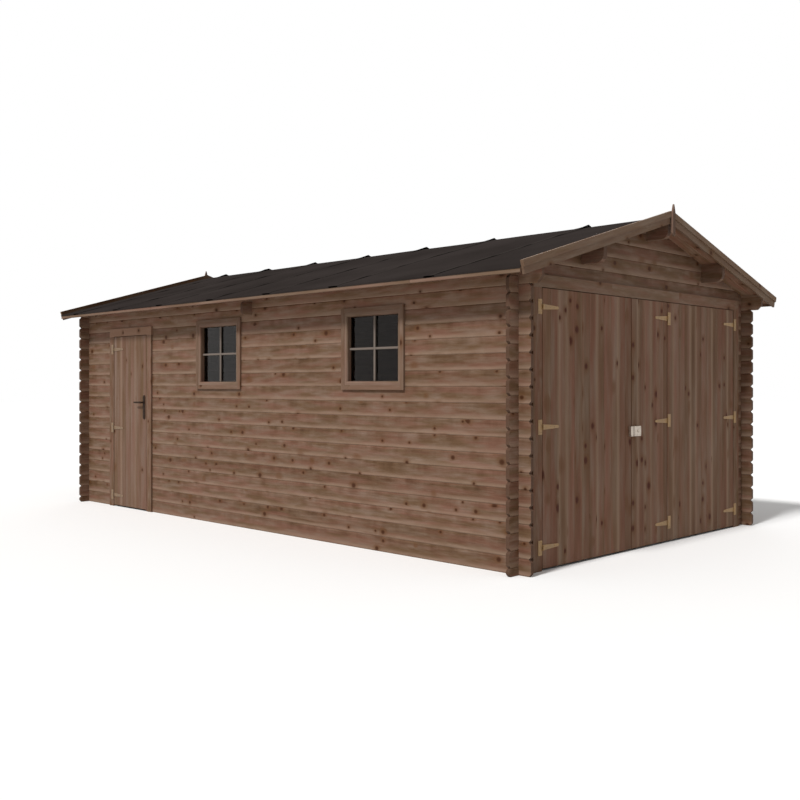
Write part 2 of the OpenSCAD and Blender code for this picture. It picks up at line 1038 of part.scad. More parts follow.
// Window frame that clasps the logs on both faces, opening from u0 to u1.
module window_frame(u0, u1) {
  z0 = window_z0 - clasp;
  z1 = window_z1 + clasp;
  depth = 2 * side_proud + log_t;
  in = casing_w - clasp;
  difference() {
    translate([u0 - clasp, 0, z0])
      cube([u1 - u0 + 2 * clasp, depth, z1 - z0]);
    translate([u0 + in, -over, window_z0 + in])
      cube([u1 - u0 - 2 * in, depth + 2 * over, window_z1 - window_z0 - 2 * in]);
    difference() {
      translate([u0 - clasp - over, side_proud - seat, z0 - over])
        cube([u1 - u0 + 2 * (clasp + over), log_t + 2 * seat, z1 - z0 + 2 * over]);
      translate([u0 + seat, 0, window_z0 + seat])
        cube([u1 - u0 - 2 * seat, depth, window_z1 - window_z0 - 2 * seat]);
    }
  }
}

module rear_window_frame() {
  color(wood)
    on_left_wall()
      window_frame(rear_w0, rear_w1);
}

module front_window_frame() {
  color(wood)
    on_left_wall()
      window_frame(front_w0, front_w1);
}

// Outer rectangle of a sash inside its frame.
module sash_block(u0, u1, inset, v0, v1) {
  in = casing_w - clasp + inset;
  translate([u0 + in, v0, window_z0 + in])
    cube([u1 - u0 - 2 * in, v1 - v0, window_z1 - window_z0 - 2 * in]);
}

glass_v = sash_v + sash_d - glass_back;

module window_sashes() {
  color(wood)
    on_left_wall()
      for (w = windows)
        difference() {
          sash_block(w[0], w[1], seat, sash_v, sash_v + sash_d);
          sash_block(w[0], w[1], sash_w, sash_v - over, sash_v + sash_d + over);
          sash_block(w[0], w[1], sash_w - glass_in, glass_v - seat, glass_v + glass_t + seat);
        }
}

module window_glass() {
  color("#2c3033", 0.5)
    on_left_wall()
      for (w = windows)
        sash_block(w[0], w[1], sash_w - glass_in + seat, glass_v, glass_v + glass_t);
}

translate([0, wall_y, 0]) {
  left_wall_rear();
  left_wall_low();
  left_wall_door_pier();
  left_wall_middle_pier();
  left_wall_front_pier();
  left_wall_top();
  left_plate_log();
  right_wall();
  right_plate_log();
  front_wall_left();
  front_wall_right();
  front_gable();
  rear_wall();
  middle_truss();
  ridge_purlin();
  side_purlins();
  left_roof_boards();
  right_roof_boards();
  roof_felt();
  eave_strips();
  front_barge_boards();
  rear_barge_boards();
  finials();
  garage_door_frame();
  garage_hinge_plates();
  garage_left_leaf();
  garage_left_straps();
  garage_right_leaf();
  garage_right_straps();
  garage_narrow_leaf();
  garage_narrow_straps();
  garage_lock();
  garage_lock_keep();
  side_door_frame();
  side_hinge_plates();
  side_door_leaf();
  side_door_straps();
  side_handle_plate();
  side_lever();
  rear_window_frame();
  front_window_frame();
  window_sashes();
  window_glass();
}
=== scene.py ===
import bpy
import itertools
import json
import math
import numpy as np
from functools import partial
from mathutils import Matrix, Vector


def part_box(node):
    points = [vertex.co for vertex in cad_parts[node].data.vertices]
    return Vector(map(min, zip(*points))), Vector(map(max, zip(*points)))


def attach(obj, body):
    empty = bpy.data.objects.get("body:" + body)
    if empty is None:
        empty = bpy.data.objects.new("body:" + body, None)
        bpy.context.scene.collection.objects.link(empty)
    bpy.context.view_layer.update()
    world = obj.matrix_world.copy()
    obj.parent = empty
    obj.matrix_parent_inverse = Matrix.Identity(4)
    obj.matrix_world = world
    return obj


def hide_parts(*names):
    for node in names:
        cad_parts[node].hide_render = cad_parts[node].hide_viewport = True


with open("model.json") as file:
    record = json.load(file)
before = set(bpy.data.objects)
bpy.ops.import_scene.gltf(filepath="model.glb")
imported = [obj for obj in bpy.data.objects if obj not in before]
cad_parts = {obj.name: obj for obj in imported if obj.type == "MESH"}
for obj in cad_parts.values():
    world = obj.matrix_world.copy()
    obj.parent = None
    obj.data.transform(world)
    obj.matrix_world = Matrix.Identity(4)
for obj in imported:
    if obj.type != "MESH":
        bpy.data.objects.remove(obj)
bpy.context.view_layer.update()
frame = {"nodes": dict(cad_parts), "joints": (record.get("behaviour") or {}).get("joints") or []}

print("solids loaded:", len(frame["nodes"]))


# what all pieces share, in metres

roofSlope = math.radians(16.27)
slopeLevel, slopeRise = math.cos(roofSlope), math.sin(roofSlope)
seat = 0.0003  # gap between pieces that lie on each other
upwards = np.array([0.0, 0.0, 1.0])
joints = {joint["name"]: np.array(joint["pos_m"]) for joint in frame["joints"]}
rng = np.random.default_rng(7)  # all random draws, in the order of the pieces


def nodeBox(name):
    return np.array(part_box(name))


# shapes

def carry(sections, origins, across, deep, closed=False):
    # Profiles carried along a path: point = origin + p * across + q * deep, with the corners
    # counterclockwise when seen from the far end.
    sections = np.asarray(sections, float)
    origins = np.asarray(origins, float)
    stations = len(origins)
    if sections.ndim == 2:
        sections = np.broadcast_to(sections, (stations, *sections.shape))
    across = np.broadcast_to(across, (stations, 3))
    deep = np.broadcast_to(deep, (stations, 3))
    corners = sections.shape[1]
    points = origins[:, None] + sections[..., :1] * across[:, None] + sections[..., 1:] * deep[:, None]
    rows = np.arange(stations if closed else stations - 1)[:, None, None] + [0, 0, 1, 1]
    columns = np.arange(corners)[:, None] + [0, 1, 1, 0]
    quads = (rows % stations * corners + columns % corners).reshape(-1, 4)
    # grain runs with the path: u is the length along it, v the length round the middle profile
    steps = np.linalg.norm(np.diff(origins, axis=0, append=origins[:1]), axis=1)
    along = np.concatenate([[0], np.cumsum(steps)])
    ring = sections[stations // 2]
    girth = np.linalg.norm(np.roll(ring, -1, 0) - ring, axis=1)
    around = np.concatenate([[0], np.cumsum(girth)])
    faces = quads.tolist()
    uv = [np.stack(np.broadcast_arrays(along[rows], around[columns]), -1).reshape(-1, 2)]
    cut = [np.zeros(len(quads))]
    if not closed:
        faces.append(list(range(corners - 1, -1, -1)))
        faces.append(list(range((stations - 1) * corners, stations * corners)))
        uv.extend([sections[0][::-1], sections[-1]])
        cut.append(np.ones(2))
    return {"points": points.reshape(-1, 3), "faces": faces, "uv": np.concatenate(uv),
            "cut": np.concatenate(cut), "edge": 0.0, "tone": 0.5}


boards = {
    "rim": 0.008,  # width of the strip along an edge that may be paler, as a painted highlight
    "rimShare": 0.3,  # the most of the board that it takes
    "endDraw": 0.7,  # how far the ends are drawn in, in chamfers
    "grainShift": np.array([17.3, 5.9]),  # each tone has its own stretch of grain
}


def giveTone(shape, seed):
    shape["tone"] = seed
    shape["uv"] = shape["uv"] + seed * boards["grainShift"]
    return shape


def bar(start, end, across, width, thick, chamfer, edge, seed=None, rim=boards["rim"]):
    # A chamfered rectangle of twelve corners through four stations, the outer two drawn in. Its long
    # edges have the edge values given, and its middle strip has 0. Above 0 an edge value paints a
    # highlight along that edge, and below 0 it paints shade.
    start, end = np.array([start, end], float)
    length = np.linalg.norm(end - start)
    axis = (end - start) / length
    a, b, c = width / 2, thick / 2, chamfer
    d = min(rim, boards["rimShare"] * width)
    profile = np.array([
        [a, c - b], [a, b - c], [a - c, b], [a - d, b], [d - a, b], [c - a, b],
        [-a, b - c], [-a, c - b], [c - a, -b], [d - a, -b], [a - d, -b], [a - c, -b]])
    drawn = c * boards["endDraw"] * np.array([1, 0, 0, 1])[:, None, None]
    origins = start + axis * np.array([0, c, length - c, length])[:, None]
    shape = carry(profile - np.sign(profile) * drawn, origins, across, np.cross(axis, across))
    right, left = edge
    shape["edge"] = np.tile([right] * 3 + [0, 0] + [left] * 4 + [0, 0, right], 4)
    return giveTone(shape, rng.uniform(0, 1) if seed is None else seed)


def faceOut(shape):
    # The sum of the tetrahedra from the origin to each triangle is below zero for a shape inside out.
    triangles = [[f[0], f[i], f[i + 1]] for f in shape["faces"] for i in range(1, len(f) - 1)]
    a, b, c = shape["points"][np.array(triangles)].transpose(1, 0, 2)
    if np.einsum("ij,ij->i", a, np.cross(b, c)).sum() < 0:
        ends = np.cumsum([len(f) for f in shape["faces"]])
        shape["uv"] = np.concatenate([part[::-1] for part in np.split(shape["uv"], ends[:-1])])
        shape["faces"] = [f[::-1] for f in shape["faces"]]
    return shape


def unit(vectors):
    return vectors / np.linalg.norm(vectors, axis=1, keepdims=True)


def plate(outline, origin, across, thick, rounding):
    # An upright plate with a rounded front edge: its outline rises through four stations, the last two
    # drawn in by a share of the rounding and by all of it.
    share = 0.3
    rise = np.array([0, thick - rounding, thick - share * rounding, thick])
    inset = np.array([0, 0, share * rounding, rounding])
    before = outline - np.roll(outline, 1, 0)
    tangent = unit(unit(before) + unit(np.roll(before, -1, 0)))
    outward = np.stack([tangent[:, 1], -tangent[:, 0]], 1)
    origins = origin + rise[:, None] * np.cross(across, upwards)
    return carry(outline - outward * inset[:, None, None], origins, across, upwards)


def circle(angle):
    return np.stack([np.cos(angle), np.sin(angle)], -1)


def disc(radius, steps=24):
    return circle(np.linspace(0, 2 * math.pi, steps, endpoint=False)) * radius


def roundedBox(width, height, corner, steps=5):
    # a quarter circle round the centre of each corner, counterclockwise
    angle = np.linspace(0, math.pi / 2, steps) + np.arange(4)[:, None] * math.pi / 2
    centres = np.array([[1, 1], [-1, 1], [-1, -1], [1, -1]]) * [width / 2 - corner, height / 2 - corner]
    return (centres[:, None] + circle(angle) * corner).reshape(-1, 2)


screwForm = {
    # rings from rim to middle: radius and height in head radii, and 1 where the cross recess is
    "rings": ((1.0, 0.0, 0), (1.0, 0.16, 0), (0.8, 0.3, 0), (0.52, 0.36, 0),
              (0.5, 0.36, 1), (0.12, 0.36, 1)),
    "corners": 16, "recess": 0.3,
}


def screwHead(centre, outward, radius, turn):
    # Rings round the centre at their heights, less a cross-shaped recess on the inner ones, wherever
    # the squared cosine of the doubled angle is over a half.
    side = np.cross(upwards, outward)
    ring, height, inner = np.array(screwForm["rings"]).T[..., None]
    angle = np.linspace(0, 2 * math.pi, screwForm["corners"], endpoint=False)[None]
    recess = inner * (np.cos(2 * angle) ** 2 > 0.5) * screwForm["recess"]
    rings = [ring * np.cos(angle + turn), ring * np.sin(angle + turn), height - recess]
    shape = carry(np.zeros((*recess.shape, 2)), np.zeros((len(ring), 3)), side, upwards)
    offsets = np.stack(rings, -1) * radius @ np.array([side, upwards, outward])
    shape["points"] = centre + offsets.reshape(-1, 3)
    return shape


def putInScene(name, data):
    made = bpy.data.objects.new(name, data)
    bpy.context.scene.collection.objects.link(made)
    return made


def makePiece(name, shapes, body, finish, replaced=None, smooth=False):
    # one mesh of all the shapes, with their grain, edges, sawn ends and tones
    shapes = [faceOut(shape) for shape in shapes]
    mesh = bpy.data.meshes.new(name)
    counts = np.cumsum([0] + [len(s["points"]) for s in shapes])
    faces = [[corner + count for corner in face] for s, count in zip(shapes, counts) for face in s["faces"]]
    points = np.concatenate([s["points"] for s in shapes]).tolist()
    mesh.from_pydata(points, [], faces, shade_flat=not smooth)
    grain = mesh.uv_layers.new(name="grain")
    grain.data.foreach_set("uv", np.concatenate([s["uv"] for s in shapes]).ravel())
    for key, domain, parts in (("edge", "POINT", "points"), ("cut", "FACE", "faces"),
                               ("tone", "FACE", "faces")):
        values = np.concatenate([np.broadcast_to(s[key], len(s[parts])) for s in shapes])
        mesh.attributes.new(key, "FLOAT", domain).data.foreach_set("value", values)
    mesh.materials.append(skins[finish])
    made = putInScene(name, mesh)
    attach(made, body)
    if replaced:
        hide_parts(replaced)


# shader helpers

def tone(colour):
    # a screen colour, 0 to 255, as the linear value that a shader takes
    value = np.array(colour) / 255
    linear = np.where(value > 0.04045, ((value + 0.055) / 1.055) ** 2.4, value / 12.92)
    return (*linear.tolist(), 1.0)


current = {}  # the node tree that new nodes go into


def openNodes(owner):
    owner.use_nodes = True
    current["tree"] = owner.node_tree
    return owner


def newSkin(name):
    return openNodes(bpy.data.materials.new(name))


def setInputs(node, values):
    for name, value in values.items():
        if isinstance(value, bpy.types.NodeSocket):
            current["tree"].links.new(value, node.inputs[name])
        else:
            node.inputs[name].default_value = value


def addNode(kind, inputs=None, **settings):
    made = current["tree"].nodes.new("ShaderNode" + kind)
    for key, value in settings.items():
        setattr(made, key, value)
    setInputs(made, inputs or {})
    return made.outputs


def calc(operation, *values):
    return addNode("Math", dict(enumerate(values)), operation=operation)[0]


plus, minus, times, divide, over, timesPlus = (
    partial(calc, operation)
    for operation in ("ADD", "SUBTRACT", "MULTIPLY", "DIVIDE", "GREATER_THAN", "MULTIPLY_ADD"))


def sway(value, amount, base):
    # base, raised or lowered as value goes above or below 0.5
    return timesPlus(minus(value, 0.5), amount, base)


def choose(share, first, second):
    # first where share is 1, second where it is 0
    return plus(times(share, first), times(minus(1.0, share), second))


def blendColour(amount, first, second):
    # a colour given as three numbers is one on screen
    first, second = (tone(c) if isinstance(c, tuple) and len(c) == 3 else c for c in (first, second))
    return addNode("Mix", {0: amount, 6: first, 7: second}, data_type="RGBA")[2]


def spread(value, low, high, outLow=0.0, outHigh=1.0, smooth=False):
    kind = "SMOOTHSTEP" if smooth else "LINEAR"
    limits = dict(enumerate((value, low, high, outLow, outHigh)))
    return addNode("MapRange", limits, interpolation_type=kind)[0]


def join3(x, y, z):
    return addNode("CombineXYZ", {0: x, 1: y, 2: z})[0]


def stretch(axes, scales):
    return join3(*map(times, axes, scales))


def noise(vector, detail=2.0, roughness=0.5, scale=1.0):
    inputs = {"Vector": vector, "Scale": scale, "Detail": detail, "Roughness": roughness}
    return addNode("TexNoise", inputs)["Fac"]


def chance(value):
    return addNode("TexWhiteNoise", {"W": value}, noise_dimensions="1D")["Value"]


def attribute(name):
    return addNode("Attribute", attribute_name=name)["Fac"]


def axesOf(kind="Object"):
    # of a point, or of the way that it faces for "Normal"
    return addNode("SeparateXYZ", {0: addNode("TexCoord")[kind]})


def sawnEnd(axis, limit):
    return over(calc("ABSOLUTE", axesOf("Normal")[axis]), limit)


def finishSkin(colour, roughness, height, strength, distance, gloss=0.5, others={}):
    # what varies is linked, and what doesn't is set on the shader's own sockets
    bump = addNode("Bump", {"Height": height, "Strength": strength, "Distance": distance})[0]
    setInputs(current["tree"].nodes["Principled BSDF"],
              {"Base Color": colour, "Roughness": roughness, "Normal": bump,
               "Specular IOR Level": gloss, **others})


# how the grain lies: each function gives along, across, depth, tone, edge and cut

logs = {
    "cover": 0.114,  # height that one log covers
    "fade": 1.7, "fadeHeight": 0.25,  # changes along the pale edge per metre, and their height in logs
    "cloud": 8.0, "cloudHeight": 0.1,
    "paleFull": 0.1, "paleEnds": 0.36,  # shares of the log's height between which the pale edge fades
    "shade": 0.3, "joint": 0.2,  # darkness towards the log above, and in the joint
    "cutFacing": 0.6,
}


def logGrain(alongAxis, shift):
    # paler along a log's lower edge, and darker towards the joint with the log above
    axes = axesOf()
    along, through = axes[alongAxis], axes[1 - alongAxis]
    height = plus(divide(axes[2], logs["cover"]), shift)
    course = calc("FLOOR", height)
    seed = chance(timesPlus(over(through, 0.0), 41.0, course))
    fade = noise(join3(times(along, logs["fade"]), course, 0.0))
    cloud = noise(join3(times(along, logs["cloud"]), course, 4.0), 3.0)
    upLog = sway(fade, logs["fadeHeight"], calc("FRACT", height))
    upLog = sway(cloud, logs["cloudHeight"], upLog)
    paleShare = times(spread(fade, 0.3, 0.55, 0.45, 1.0), spread(cloud, 0.3, 0.6, 0.65, 1.0))
    pale = times(spread(upLog, logs["paleEnds"], logs["paleFull"], smooth=True), paleShare)
    shade = times(spread(upLog, 0.25, 0.9, 0.0, logs["shade"], smooth=True), spread(cloud, 0.4, 0.62))
    joint = spread(calc("PINGPONG", height, 0.5), 0.05, 0.02, 0.0, logs["joint"], smooth=True)
    edge = minus(pale, plus(shade, joint))
    return along, axes[2], through, seed, edge, sawnEnd(alongAxis, logs["cutFacing"])


def purlinGrain():
    axes = axesOf()
    seed = chance(calc("ROUND", times(axes[0], 1.2)))
    return axes[1], axes[2], axes[0], seed, 0.0, sawnEnd(1, 0.8)


def bargeGrain(pale, roofShade):
    # along the slope on both sides: |x| and z turned by the roof's slope
    axes = axesOf()
    out, up = calc("ABSOLUTE", axes[0]), axes[2]
    along = minus(times(out, slopeLevel), times(up, slopeRise))
    across = plus(times(out, slopeRise), times(up, slopeLevel))
    rear = plus(over(axes[1], 0.0), 11.0)
    seed = chance(timesPlus(over(axes[0], 0.0), 3.0, rear))
    # the face towards the roof is darker: painted shade
    inward = calc("LESS_THAN", times(axes[1], axesOf("Normal")[1]), -0.5)
    return along, across, axes[1], seed, timesPlus(inward, -roofShade, pale), 0.0


def doorFrameGrain(headFoot, headAxis, headPaintedLight):
    # posts stand upright, and above headFoot the head runs along headAxis
    axes = axesOf()
    head = over(axes[2], headFoot)
    level = plus(axes[0], axes[1])
    along = choose(head, axes[headAxis], axes[2])
    across = choose(head, axes[2], level)
    seed = chance(timesPlus(head, 5.0, calc("ROUND", level)))
    # the head is painted paler, as painted light on its shade
    return along, across, axes[1 - headAxis], seed, times(head, headPaintedLight), 0.0


casing = {"board": 0.036, "middleUp": 1.5, "pale": 0.1}


def casingGrain(middle, stile):
    # a window casing: upright beyond the distance stile from its middle, level between
    axes = axesOf()
    off = minus(axes[1], middle)
    upright = over(calc("ABSOLUTE", off), stile)
    along = choose(upright, axes[2], axes[1])
    across = choose(upright, axes[1], axes[2])
    half = over(plus(off, minus(axes[2], casing["middleUp"])), 0.0)
    seed = chance(timesPlus(upright, 3.0, half))
    return along, across, axes[0], seed, casing["pale"], 0.0


def boardGrain():
    axes = addNode("SeparateXYZ", {0: addNode("UVMap", uv_map="grain")[0]})
    return axes[0], axes[1], 0.0, *(attribute(name) for name in ("tone", "edge", "cut"))


# wood

woodLook = {
    "red": (125, 89, 73), "gold": (106, 80, 57), "grey": (122, 100, 84), "pale": (154, 129, 110),
    "latewood": (84, 60, 46), "knot": (60, 29, 9), "knotRing": (97, 60, 29), "endGrain": (83, 61, 48),
    "wash": (118, 108, 100), "washShare": 0.0,  # thin grey wash over the stain
    "ringShare": 0.3, "haloShare": 0.5, "heartShare": 0.88, "endShare": 0.85,
    "lift": 1.0,  # lightness of the whole piece
    "warmth": (0.8, 1.0, 1.25),  # powers of lightness for red, green and blue
    "boardSpread": 0.1,  # how much one board differs from the next
    "boardShift": (17.0, 5.3),  # each board has its own stretch of grain
    "patches": 0.42, "patchLong": 0.26, "patchWide": 0.05,  # strength, and size in metres
    "streaks": 0.42, "streakLong": 0.26, "streakWide": 0.015,
    "fine": 0.16, "fineEvery": (22.0, 640.0, 400.0),  # lines per metre along, across and through
    "ringWide": 0.0045,
    "knotEvery": 0.24, "knotRow": 0.062,  # metres along the board and across it
    "knotLong": 0.85,  # below 1 for a knot drawn out along the board
    "knotShare": 0.2, "knotSize": (0.011, 0.025),
    "knotBend": 0.006,  # metres by which grain lines step round a knot
    "edgeLight": 0.63, "gloss": 0.13, "rough": (0.55, 0.75), "bumpDepth": 0.0009,
}


def knotMarks(look, u, v):
    # Distance to the nearest seed point of a grid of cells: a knot has a dark heart and a stained
    # halo, and gives the side on which a point lies.
    cells = join3(divide(u, look["knotEvery"]), divide(v, look["knotRow"]), 0.0)
    inputs = {"Vector": cells, "Scale": 1.0, "Randomness": 0.9}
    knots = addNode("TexVoronoi", inputs, voronoi_dimensions="2D")
    offset = addNode("VectorMath", {0: cells, 1: knots["Position"]}, operation="SUBTRACT")[0]
    off = addNode("SeparateXYZ", {0: offset})
    luck = addNode("SeparateColor", {0: knots["Color"]})
    du = times(off[0], look["knotEvery"] * look["knotLong"])
    dv = times(off[1], look["knotRow"])
    distance = calc("SQRT", timesPlus(du, du, times(dv, dv)))
    small, large = look["knotSize"]
    radius = timesPlus(times(luck[0], luck[0]), large - small, small)
    ratio = divide(distance, radius)
    present = calc("LESS_THAN", luck[1], look["knotShare"])
    stained = calc("LESS_THAN", luck[1], look["knotShare"] * 1.2)
    heart = times(spread(ratio, 1.2, 0.35, smooth=True), present)
    halo = times(spread(ratio, 2.9, 0.6, smooth=True), stained)
    return heart, halo, calc("SIGN", dv)


def woodSkin(name, grain, options, **changes):
    look = {**woodLook, **changes}
    skin = newSkin(name)
    along, across, depth, seed, edge, cut = grain(*options)
    u = timesPlus(seed, look["boardShift"][0], along)
    v = timesPlus(seed, look["boardShift"][1], across)
    heart, halo, side = knotMarks(look, u, v)
    v = minus(v, times(times(halo, side), look["knotBend"]))
    long, wide = 1 / look["patchLong"], 1 / look["patchWide"]
    patches = noise(stretch((u, v, depth), (long, wide, 9.0)), 3.0, 0.6)
    further = timesPlus(depth, 9.0, 7.0)
    tints = noise(stretch((u, v, further), (long / 2, wide * 0.8, 1.0)))
    streakScale = (1 / look["streakLong"], 1 / look["streakWide"], 50.0)
    streaks = noise(stretch((u, v, depth), streakScale), 4.0, 0.62)
    fine = noise(stretch((u, v, depth), look["fineEvery"]))
    # growth rings: distance from a pith behind the board, which wanders along it
    wander = noise(join3(times(u, 0.9), seed, 0.0), 1.0)
    fromPith = timesPlus(wander, 0.09, minus(across, times(seed, 0.11)))
    square = timesPlus(fromPith, fromPith, calc("POWER", plus(depth, 0.05), 2.0))
    ringCount = divide(calc("SQRT", square), look["ringWide"])
    rings = calc("POWER", calc("FRACT", timesPlus(streaks, 0.7, ringCount)), 3.0)

    # dark patches are red or gold, and pale ones turn grey
    colour = blendColour(spread(tints, 0.41, 0.59), look["red"], look["gold"])
    colour = blendColour(spread(patches, 0.42, 0.66, 0.1, 0.8), colour, look["grey"])
    lightness = sway(seed, 2 * look["boardSpread"], look["lift"])
    for part, amount in ((streaks, "streaks"), (fine, "fine"), (patches, "patches")):
        lightness = sway(part, 2 * look[amount], lightness)
    # edge values below 0 darken: painted shade, and the logs' dark joints
    lightness = plus(lightness, calc("MINIMUM", edge, 0.0))
    # darker wood is warmer: red falls more slowly than green, and blue faster
    relative = divide(lightness, look["lift"])
    warm = [times(calc("POWER", relative, power), look["lift"]) for power in look["warmth"]]
    colour = addNode("VectorMath", {0: colour, 1: join3(*warm)}, operation="MULTIPLY")[0]
    colour = blendColour(times(rings, look["ringShare"]), colour, look["latewood"])
    # edge values above 0 turn towards the pale colour: painted highlights along board edges, painted light
    # on door heads, a paler tone over barge boards, casings and finials, and the logs' pale lower edges
    pale = times(calc("MAXIMUM", edge, 0.0), look["edgeLight"])
    washed = times(spread(streaks, 0.2, 0.8, 1.1, 0.9), look["washShare"])
    sawn = blendColour(times(rings, 0.5), look["endGrain"], look["latewood"])
    halo = times(halo, look["haloShare"])
    for share, layer in ((pale, look["pale"]), (washed, look["wash"]), (halo, look["knotRing"]),
                         (times(heart, look["heartShare"]), look["knot"]),
                         (times(cut, look["endShare"]), sawn)):
        colour = blendColour(share, colour, layer)

    height = timesPlus(streaks, 0.5, times(fine, 0.4))
    for part, depthShare in ((rings, 0.12), (heart, 0.3)):
        height = minus(height, times(part, depthShare))
    roughness = spread(streaks, 0.3, 0.7, *look["rough"])
    finishSkin(colour, roughness, height, 0.6, look["bumpDepth"], look["gloss"])
    return skin


headGap = 0.004  # half of the gap between a leaf and its head
garageHead, sideHead = (nodeBox(leaf)[1][2] + headGap for leaf in ("garage_left_leaf", "side_door_leaf"))
casings = {name: nodeBox(name) for name in ("rear_window_frame", "front_window_frame")}
doorChanges = {"patchLong": 0.8, "streakLong": 0.6}
casingChanges = {"patches": 0.3, "red": (119, 90, 73), "gold": (109, 84, 66), "grey": (118, 97, 82)}
woods = {
    # finish: the solids that wear it, how its grain lies, and what differs from the plain wood
    "sideLogWood": (
        ["left_wall_rear", "left_wall_low", "left_wall_door_pier", "left_wall_middle_pier",
         "left_wall_front_pier", "right_wall"], logGrain, (1, 0.0), {}),
    # painted light: paler, to lighten the eaves' shadow over the top logs
    "topLogWood": (
        ["left_wall_top", "left_plate_log", "right_plate_log"], logGrain, (1, 0.0), {"lift": 1.38}),
    "gableLogWood": (  # the gables' logs lie half a log higher
        ["front_wall_left", "front_wall_right", "front_gable", "rear_wall", "middle_truss"],
        logGrain, (0, 0.5), {}),
    "purlinWood": (["ridge_purlin", "side_purlins"], purlinGrain, (), {}),
    "bargeWood": (
        ["front_barge_boards", "rear_barge_boards"], bargeGrain, (0.2, 0.75),
        {"boardSpread": 0.05, "patchLong": 0.3, "red": (110, 84, 67), "grey": (116, 98, 82)}),
    "finialWood": (
        ["finials"], boardGrain, (), {"boardSpread": 0.05, "knotShare": 0.0, "washShare": 0.3}),
    # the third option paints light on the frame's shaded head
    "garageFrameWood": (
        ["garage_door_frame"], doorFrameGrain, (garageHead, 0, 0.2),
        {"boardSpread": 0.08, "red": (121, 83, 64), "patchLong": 0.3}),
    # here the pale colour and edgeLight also serve the head's painted light
    "sideFrameWood": (
        ["side_door_frame"], doorFrameGrain, (sideHead, 1, 0.9),
        {"boardSpread": 0.08, "edgeLight": 0.8, "red": (122, 88, 72), "grey": (118, 96, 80),
         "pale": (158, 122, 100)}),
    "doorBoardWood": (
        ["garage_left_leaf", "garage_right_leaf", "garage_narrow_leaf"], boardGrain, (),
        {**doorChanges, "red": (128, 86, 68), "gold": (113, 83, 60), "grey": (120, 99, 82),
         "pale": (154, 129, 108), "patchWide": 0.11, "patches": 0.6, "streakWide": 0.026, "streaks": 0.36,
         "boardSpread": 0.16, "knotShare": 0.17, "knotSize": (0.017, 0.034), "knot": (62, 16, 0),
         "edgeLight": 0.65}),
    "sideDoorWood": (
        ["side_door_leaf"], boardGrain, (),
        {**doorChanges, "red": (121, 89, 74), "grey": (121, 100, 86), "patchWide": 0.1, "patches": 0.3,
         "streakWide": 0.022, "streaks": 0.3, "knotShare": 0.13, "knotSize": (0.014, 0.026)}),
    "trimWood": (
        ["eave_strips"], boardGrain, (),
        {"patchLong": 0.5, "knotShare": 0.12, "washShare": 0.2, "lift": 1.18}),
    "sashWood": (
        ["window_sashes"], boardGrain, (),
        {"patchLong": 0.4, "knotShare": 0.0, "patches": 0.5, "washShare": 0.15}),
    "glazingBarWood": (
        [], boardGrain, (), {"patchLong": 0.4, "knotShare": 0.0, "patches": 0.4, "washShare": 0.95}),
    # painted light: paler, to lighten the shade under the roof
    "roofBoardWood": (
        ["left_roof_boards", "right_roof_boards"], boardGrain, (), {"boardSpread": 0.2, "lift": 1.55}),
}
for name, (low, high) in casings.items():
    stile = (high[1] - low[1]) / 2 - casing["board"]
    woods[name + "Wood"] = ([name], casingGrain, ((low[1] + high[1]) / 2, stile), casingChanges)


# felt, metal and glass

feltLook = {
    "dark": (43, 38, 36), "light": (60, 54, 52), "edge": (72, 67, 63),
    "clouds": 1.6, "grit": 2200 / 6, "flecks": 550.0,  # per metre
    "fleckShare": 0.5, "edgeShare": 0.45, "rough": (0.85, 0.97), "bumpDepth": 0.0008}
metals = {
    # finish: its solids, main, second and worn tone, metallic share, roughness, cloud scale and gloss
    # the hinge zinc painted darker, as shade, for the side door's sunlit hinges
    "dullZinc": (
        ["side_hinge_plates", "side_door_straps"],
        (134, 109, 85), (125, 104, 83), (110, 87, 68), 0.12, 0.55, 30.0, 0.4),
    "yellowZinc": (
        ["garage_hinge_plates", "garage_left_straps", "garage_right_straps", "garage_narrow_straps"],
        (166, 131, 86), (154, 125, 89), (126, 99, 70), 0.12, 0.5, 30.0, 0.4),
    "brightSteel": (
        ["garage_lock", "garage_lock_keep"],
        (196, 184, 170), (176, 164, 152), (138, 126, 116), 0.8, 0.38, 60.0, 0.4),
    "blackIron": (
        ["side_handle_plate", "side_lever"],
        (46, 33, 24), (52, 38, 28), (70, 53, 41), 0.0, 0.7, 40.0, 0.15),
}
brushing = {"lines": (900.0, 900.0, 60.0), "rough": (-0.08, 0.1), "depth": 0.0002}  # lines per metre
wearing = {"finer": 9, "share": 0.7}  # specks of wear, finer than the clouds
glassLook = {
    "clear": (112, 114, 112), "dusty": (134, 134, 130), "tint": (0.27, 0.22, 0.2, 1.0),
    "dust": 9.0, "ripple": 5.0, "rippleDepth": 0.0005, "rough": (0.01, 0.08), "bend": 1.45}


def feltSkin():
    skin = newSkin("charcoalFelt")
    place = addNode("TexCoord")["Object"]
    wide = noise(place, 4.0, scale=feltLook["clouds"])
    grit = noise(place, 3.0, scale=feltLook["grit"])
    cells = addNode("TexVoronoi", {"Vector": place, "Scale": feltLook["flecks"]})["Color"]
    fleck = addNode("SeparateColor", {0: cells})[0]
    share = timesPlus(wide, 0.8, times(grit, 0.3))
    colour = blendColour(spread(share, 0.3, 0.85), feltLook["dark"], feltLook["light"])
    for share in (spread(fleck, 0.9, 1.0, 0.0, feltLook["fleckShare"]),
                  times(attribute("edge"), feltLook["edgeShare"])):
        colour = blendColour(share, colour, feltLook["edge"])
    roughness = spread(wide, 0.3, 0.7, *feltLook["rough"])
    finishSkin(colour, roughness, plus(fleck, grit), 0.5, feltLook["bumpDepth"], 0.0)
    return skin


